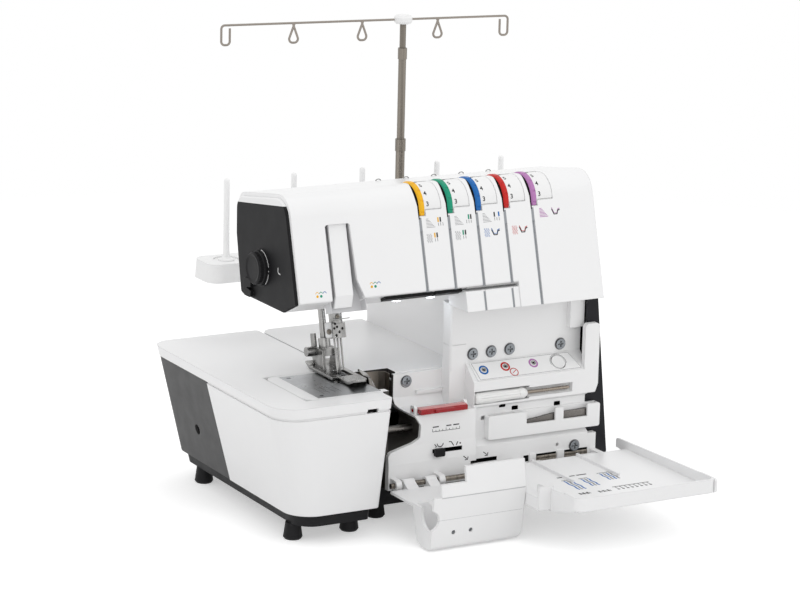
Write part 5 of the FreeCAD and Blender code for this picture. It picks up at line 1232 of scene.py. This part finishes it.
def sideMarks(s):
    face = faceFrame(s["foot"], (0, 1, 0), s["slope"])
    rise = np.linalg.norm(s["slope"]) / s["slope"][2]

    def onSide(y, z):
        return np.array((y, (z - s["foot"][2]) * rise))

    near, far = s["tick"]
    shells = []
    for dial, y in s["dials"].items():
        centre = onSide(y, s["dialZ"])
        for k, angle in enumerate(np.radians(np.linspace(-s["sweep"], s["sweep"], s["ticks"]))):
            way = np.array((np.sin(angle), np.cos(angle)))
            reach = far if k % 2 == 0 else s["shortTick"]
            shells.append(inkLine(face, (centre + way * near, centre + way * reach), s["tickWidth"]))
        front = faceFrame((s["dialFront"], y, s["dialZ"]), (0, 1, 0))
        makePiece(dial + "_mark", "inkWhite", [inkLine(front, *s["dialMark"])], dial)
    bow = arc(onSide(*s["wheel"]), *s["arrow"])
    shells += inkLines(face, (bow, bow[0] + s["barbs"]), s["arrowWidth"])
    makePiece("side_marks", "inkWhite", shells)
    dish = faceFrame((s["wheelDish"], *s["wheel"]), (0, 1, 0))
    makePiece("handwheel_mark", "inkWhite", [inkLine(dish, *s["wheelMark"])], "handwheel")
    x, z = s["switch"]
    on, off = [faceFrame((x, y, z), (tilt, s["rockerHalf"], 0)) for y, tilt in (s["on"], s["off"])]
    signs = [inkLine(on, *s["onSign"]), inkRing(off, (0, 0), *s["offSign"])]
    makePiece("switch_signs", "inkWhite", signs, "power_switch")


sideMarks(sideSet)

latchSet = {"centre": (63.5, 123.0), "half": (4.8, 1.6), "depth": 31.5,
            "layers": ((0, -2.0), (0, 0.2), (0.4, 0.6))}


def tableLatch(s):
    # A black plate at the latch: painted shade of the latch's hole.
    face = faceFrame((0, -s["depth"], 0))
    latch = plate(face, s["centre"], s["half"], s["layers"])
    makePiece("table_latch_hole_shade", "deepBlack", [latch], "table", True)


tableLatch(latchSet)
print("small parts done")


# Floor, world and lamps

stageSet = {"floor": (0.78, 0.78, 0.78, 1), "size": 6.0, "lift": 0.44, "fadeFrom": 0.75, "fadeTo": 1.5,
            "world": 0.96}


def backdropRays(tree):
    # 1 for the rays that look at the backdrop: from the camera, or by way of gloss or glass.
    rays = addNode(tree, "ShaderNodeLightPath").outputs
    seen = calc(tree, "MAXIMUM", rays["Is Camera Ray"], rays["Is Glossy Ray"])
    return calc(tree, "MAXIMUM", seen, rays["Is Transmission Ray"])


def floorFinish(s):
    # The floor takes the shadow near the machine and fades out into the white world further off.
    material, tree, shader = startMaterial("floor")
    fill(shader, {"Base Color": s["floor"], "Roughness": 0.9, "Specular IOR Level": 0.0,
                  "Emission Color": (1, 1, 1, 1)})
    wire(tree, (calc(tree, "MULTIPLY", backdropRays(tree), s["lift"]), shader.inputs["Emission Strength"]))
    reach = vectorCalc(tree, "LENGTH", objectPlace(tree))
    fade = spread(tree, reach, s["fadeFrom"], s["fadeTo"], 0.0, 1.0)
    clear = addNode(tree, "ShaderNodeBsdfTransparent")
    blend = addNode(tree, "ShaderNodeMixShader")
    wire(tree, (fade, blend.inputs[0]), (shader.outputs["BSDF"], blend.inputs[1]),
         (clear.outputs["BSDF"], blend.inputs[2]),
         (blend.outputs["Shader"], tree.nodes["Material Output"].inputs["Surface"]))
    return material


def makeStage(s):
    half = s["size"] / 2
    mesh = bpy.data.meshes.new("floor")
    corners = [(-half, -half, 0), (half, -half, 0), (half, half, 0), (-half, half, 0)]
    mesh.from_pydata(corners, [], [(0, 1, 2, 3)])
    mesh.materials.append(floorFinish(s))
    floor = addObject("floor", mesh)
    world = bpy.data.worlds.new("studio")
    bpy.context.scene.world = world
    world.use_nodes = True
    tree = world.node_tree
    light = tree.nodes["Background"]
    strength = spread(tree, backdropRays(tree), 0.0, 1.0, s["world"], 1.0)
    light.inputs["Color"].default_value = (1, 1, 1, 1)
    wire(tree, (strength, light.inputs["Strength"]))


makeStage(stageSet)

lampSet = {"key": {"place": (-900, -1500, 800), "aim": (170, 40, 180), "size": 1.2, "watts": 2},
           "fill": {"place": (1400, -900, 900), "aim": (170, 40, 180), "size": 1.4, "watts": 2},
           "top": {"place": (160, 0, 1700), "aim": (170, 60, 200), "size": 1.2, "watts": 2}}


def makeLamp(name, s):
    data = bpy.data.lights.new(name, "AREA")
    data.energy = s["watts"]
    data.size = s["size"]
    lamp = addObject(name, data)
    place = spot(*s["place"])
    turn = (place - spot(*s["aim"])).to_track_quat("Z", "Y")
    lamp.matrix_world = Matrix.Translation(place) @ turn.to_matrix().to_4x4()


for lampName, settings in lampSet.items():
    makeLamp(lampName, settings)

bpy.context.scene.view_settings.view_transform = "Standard"
print("stage lit")
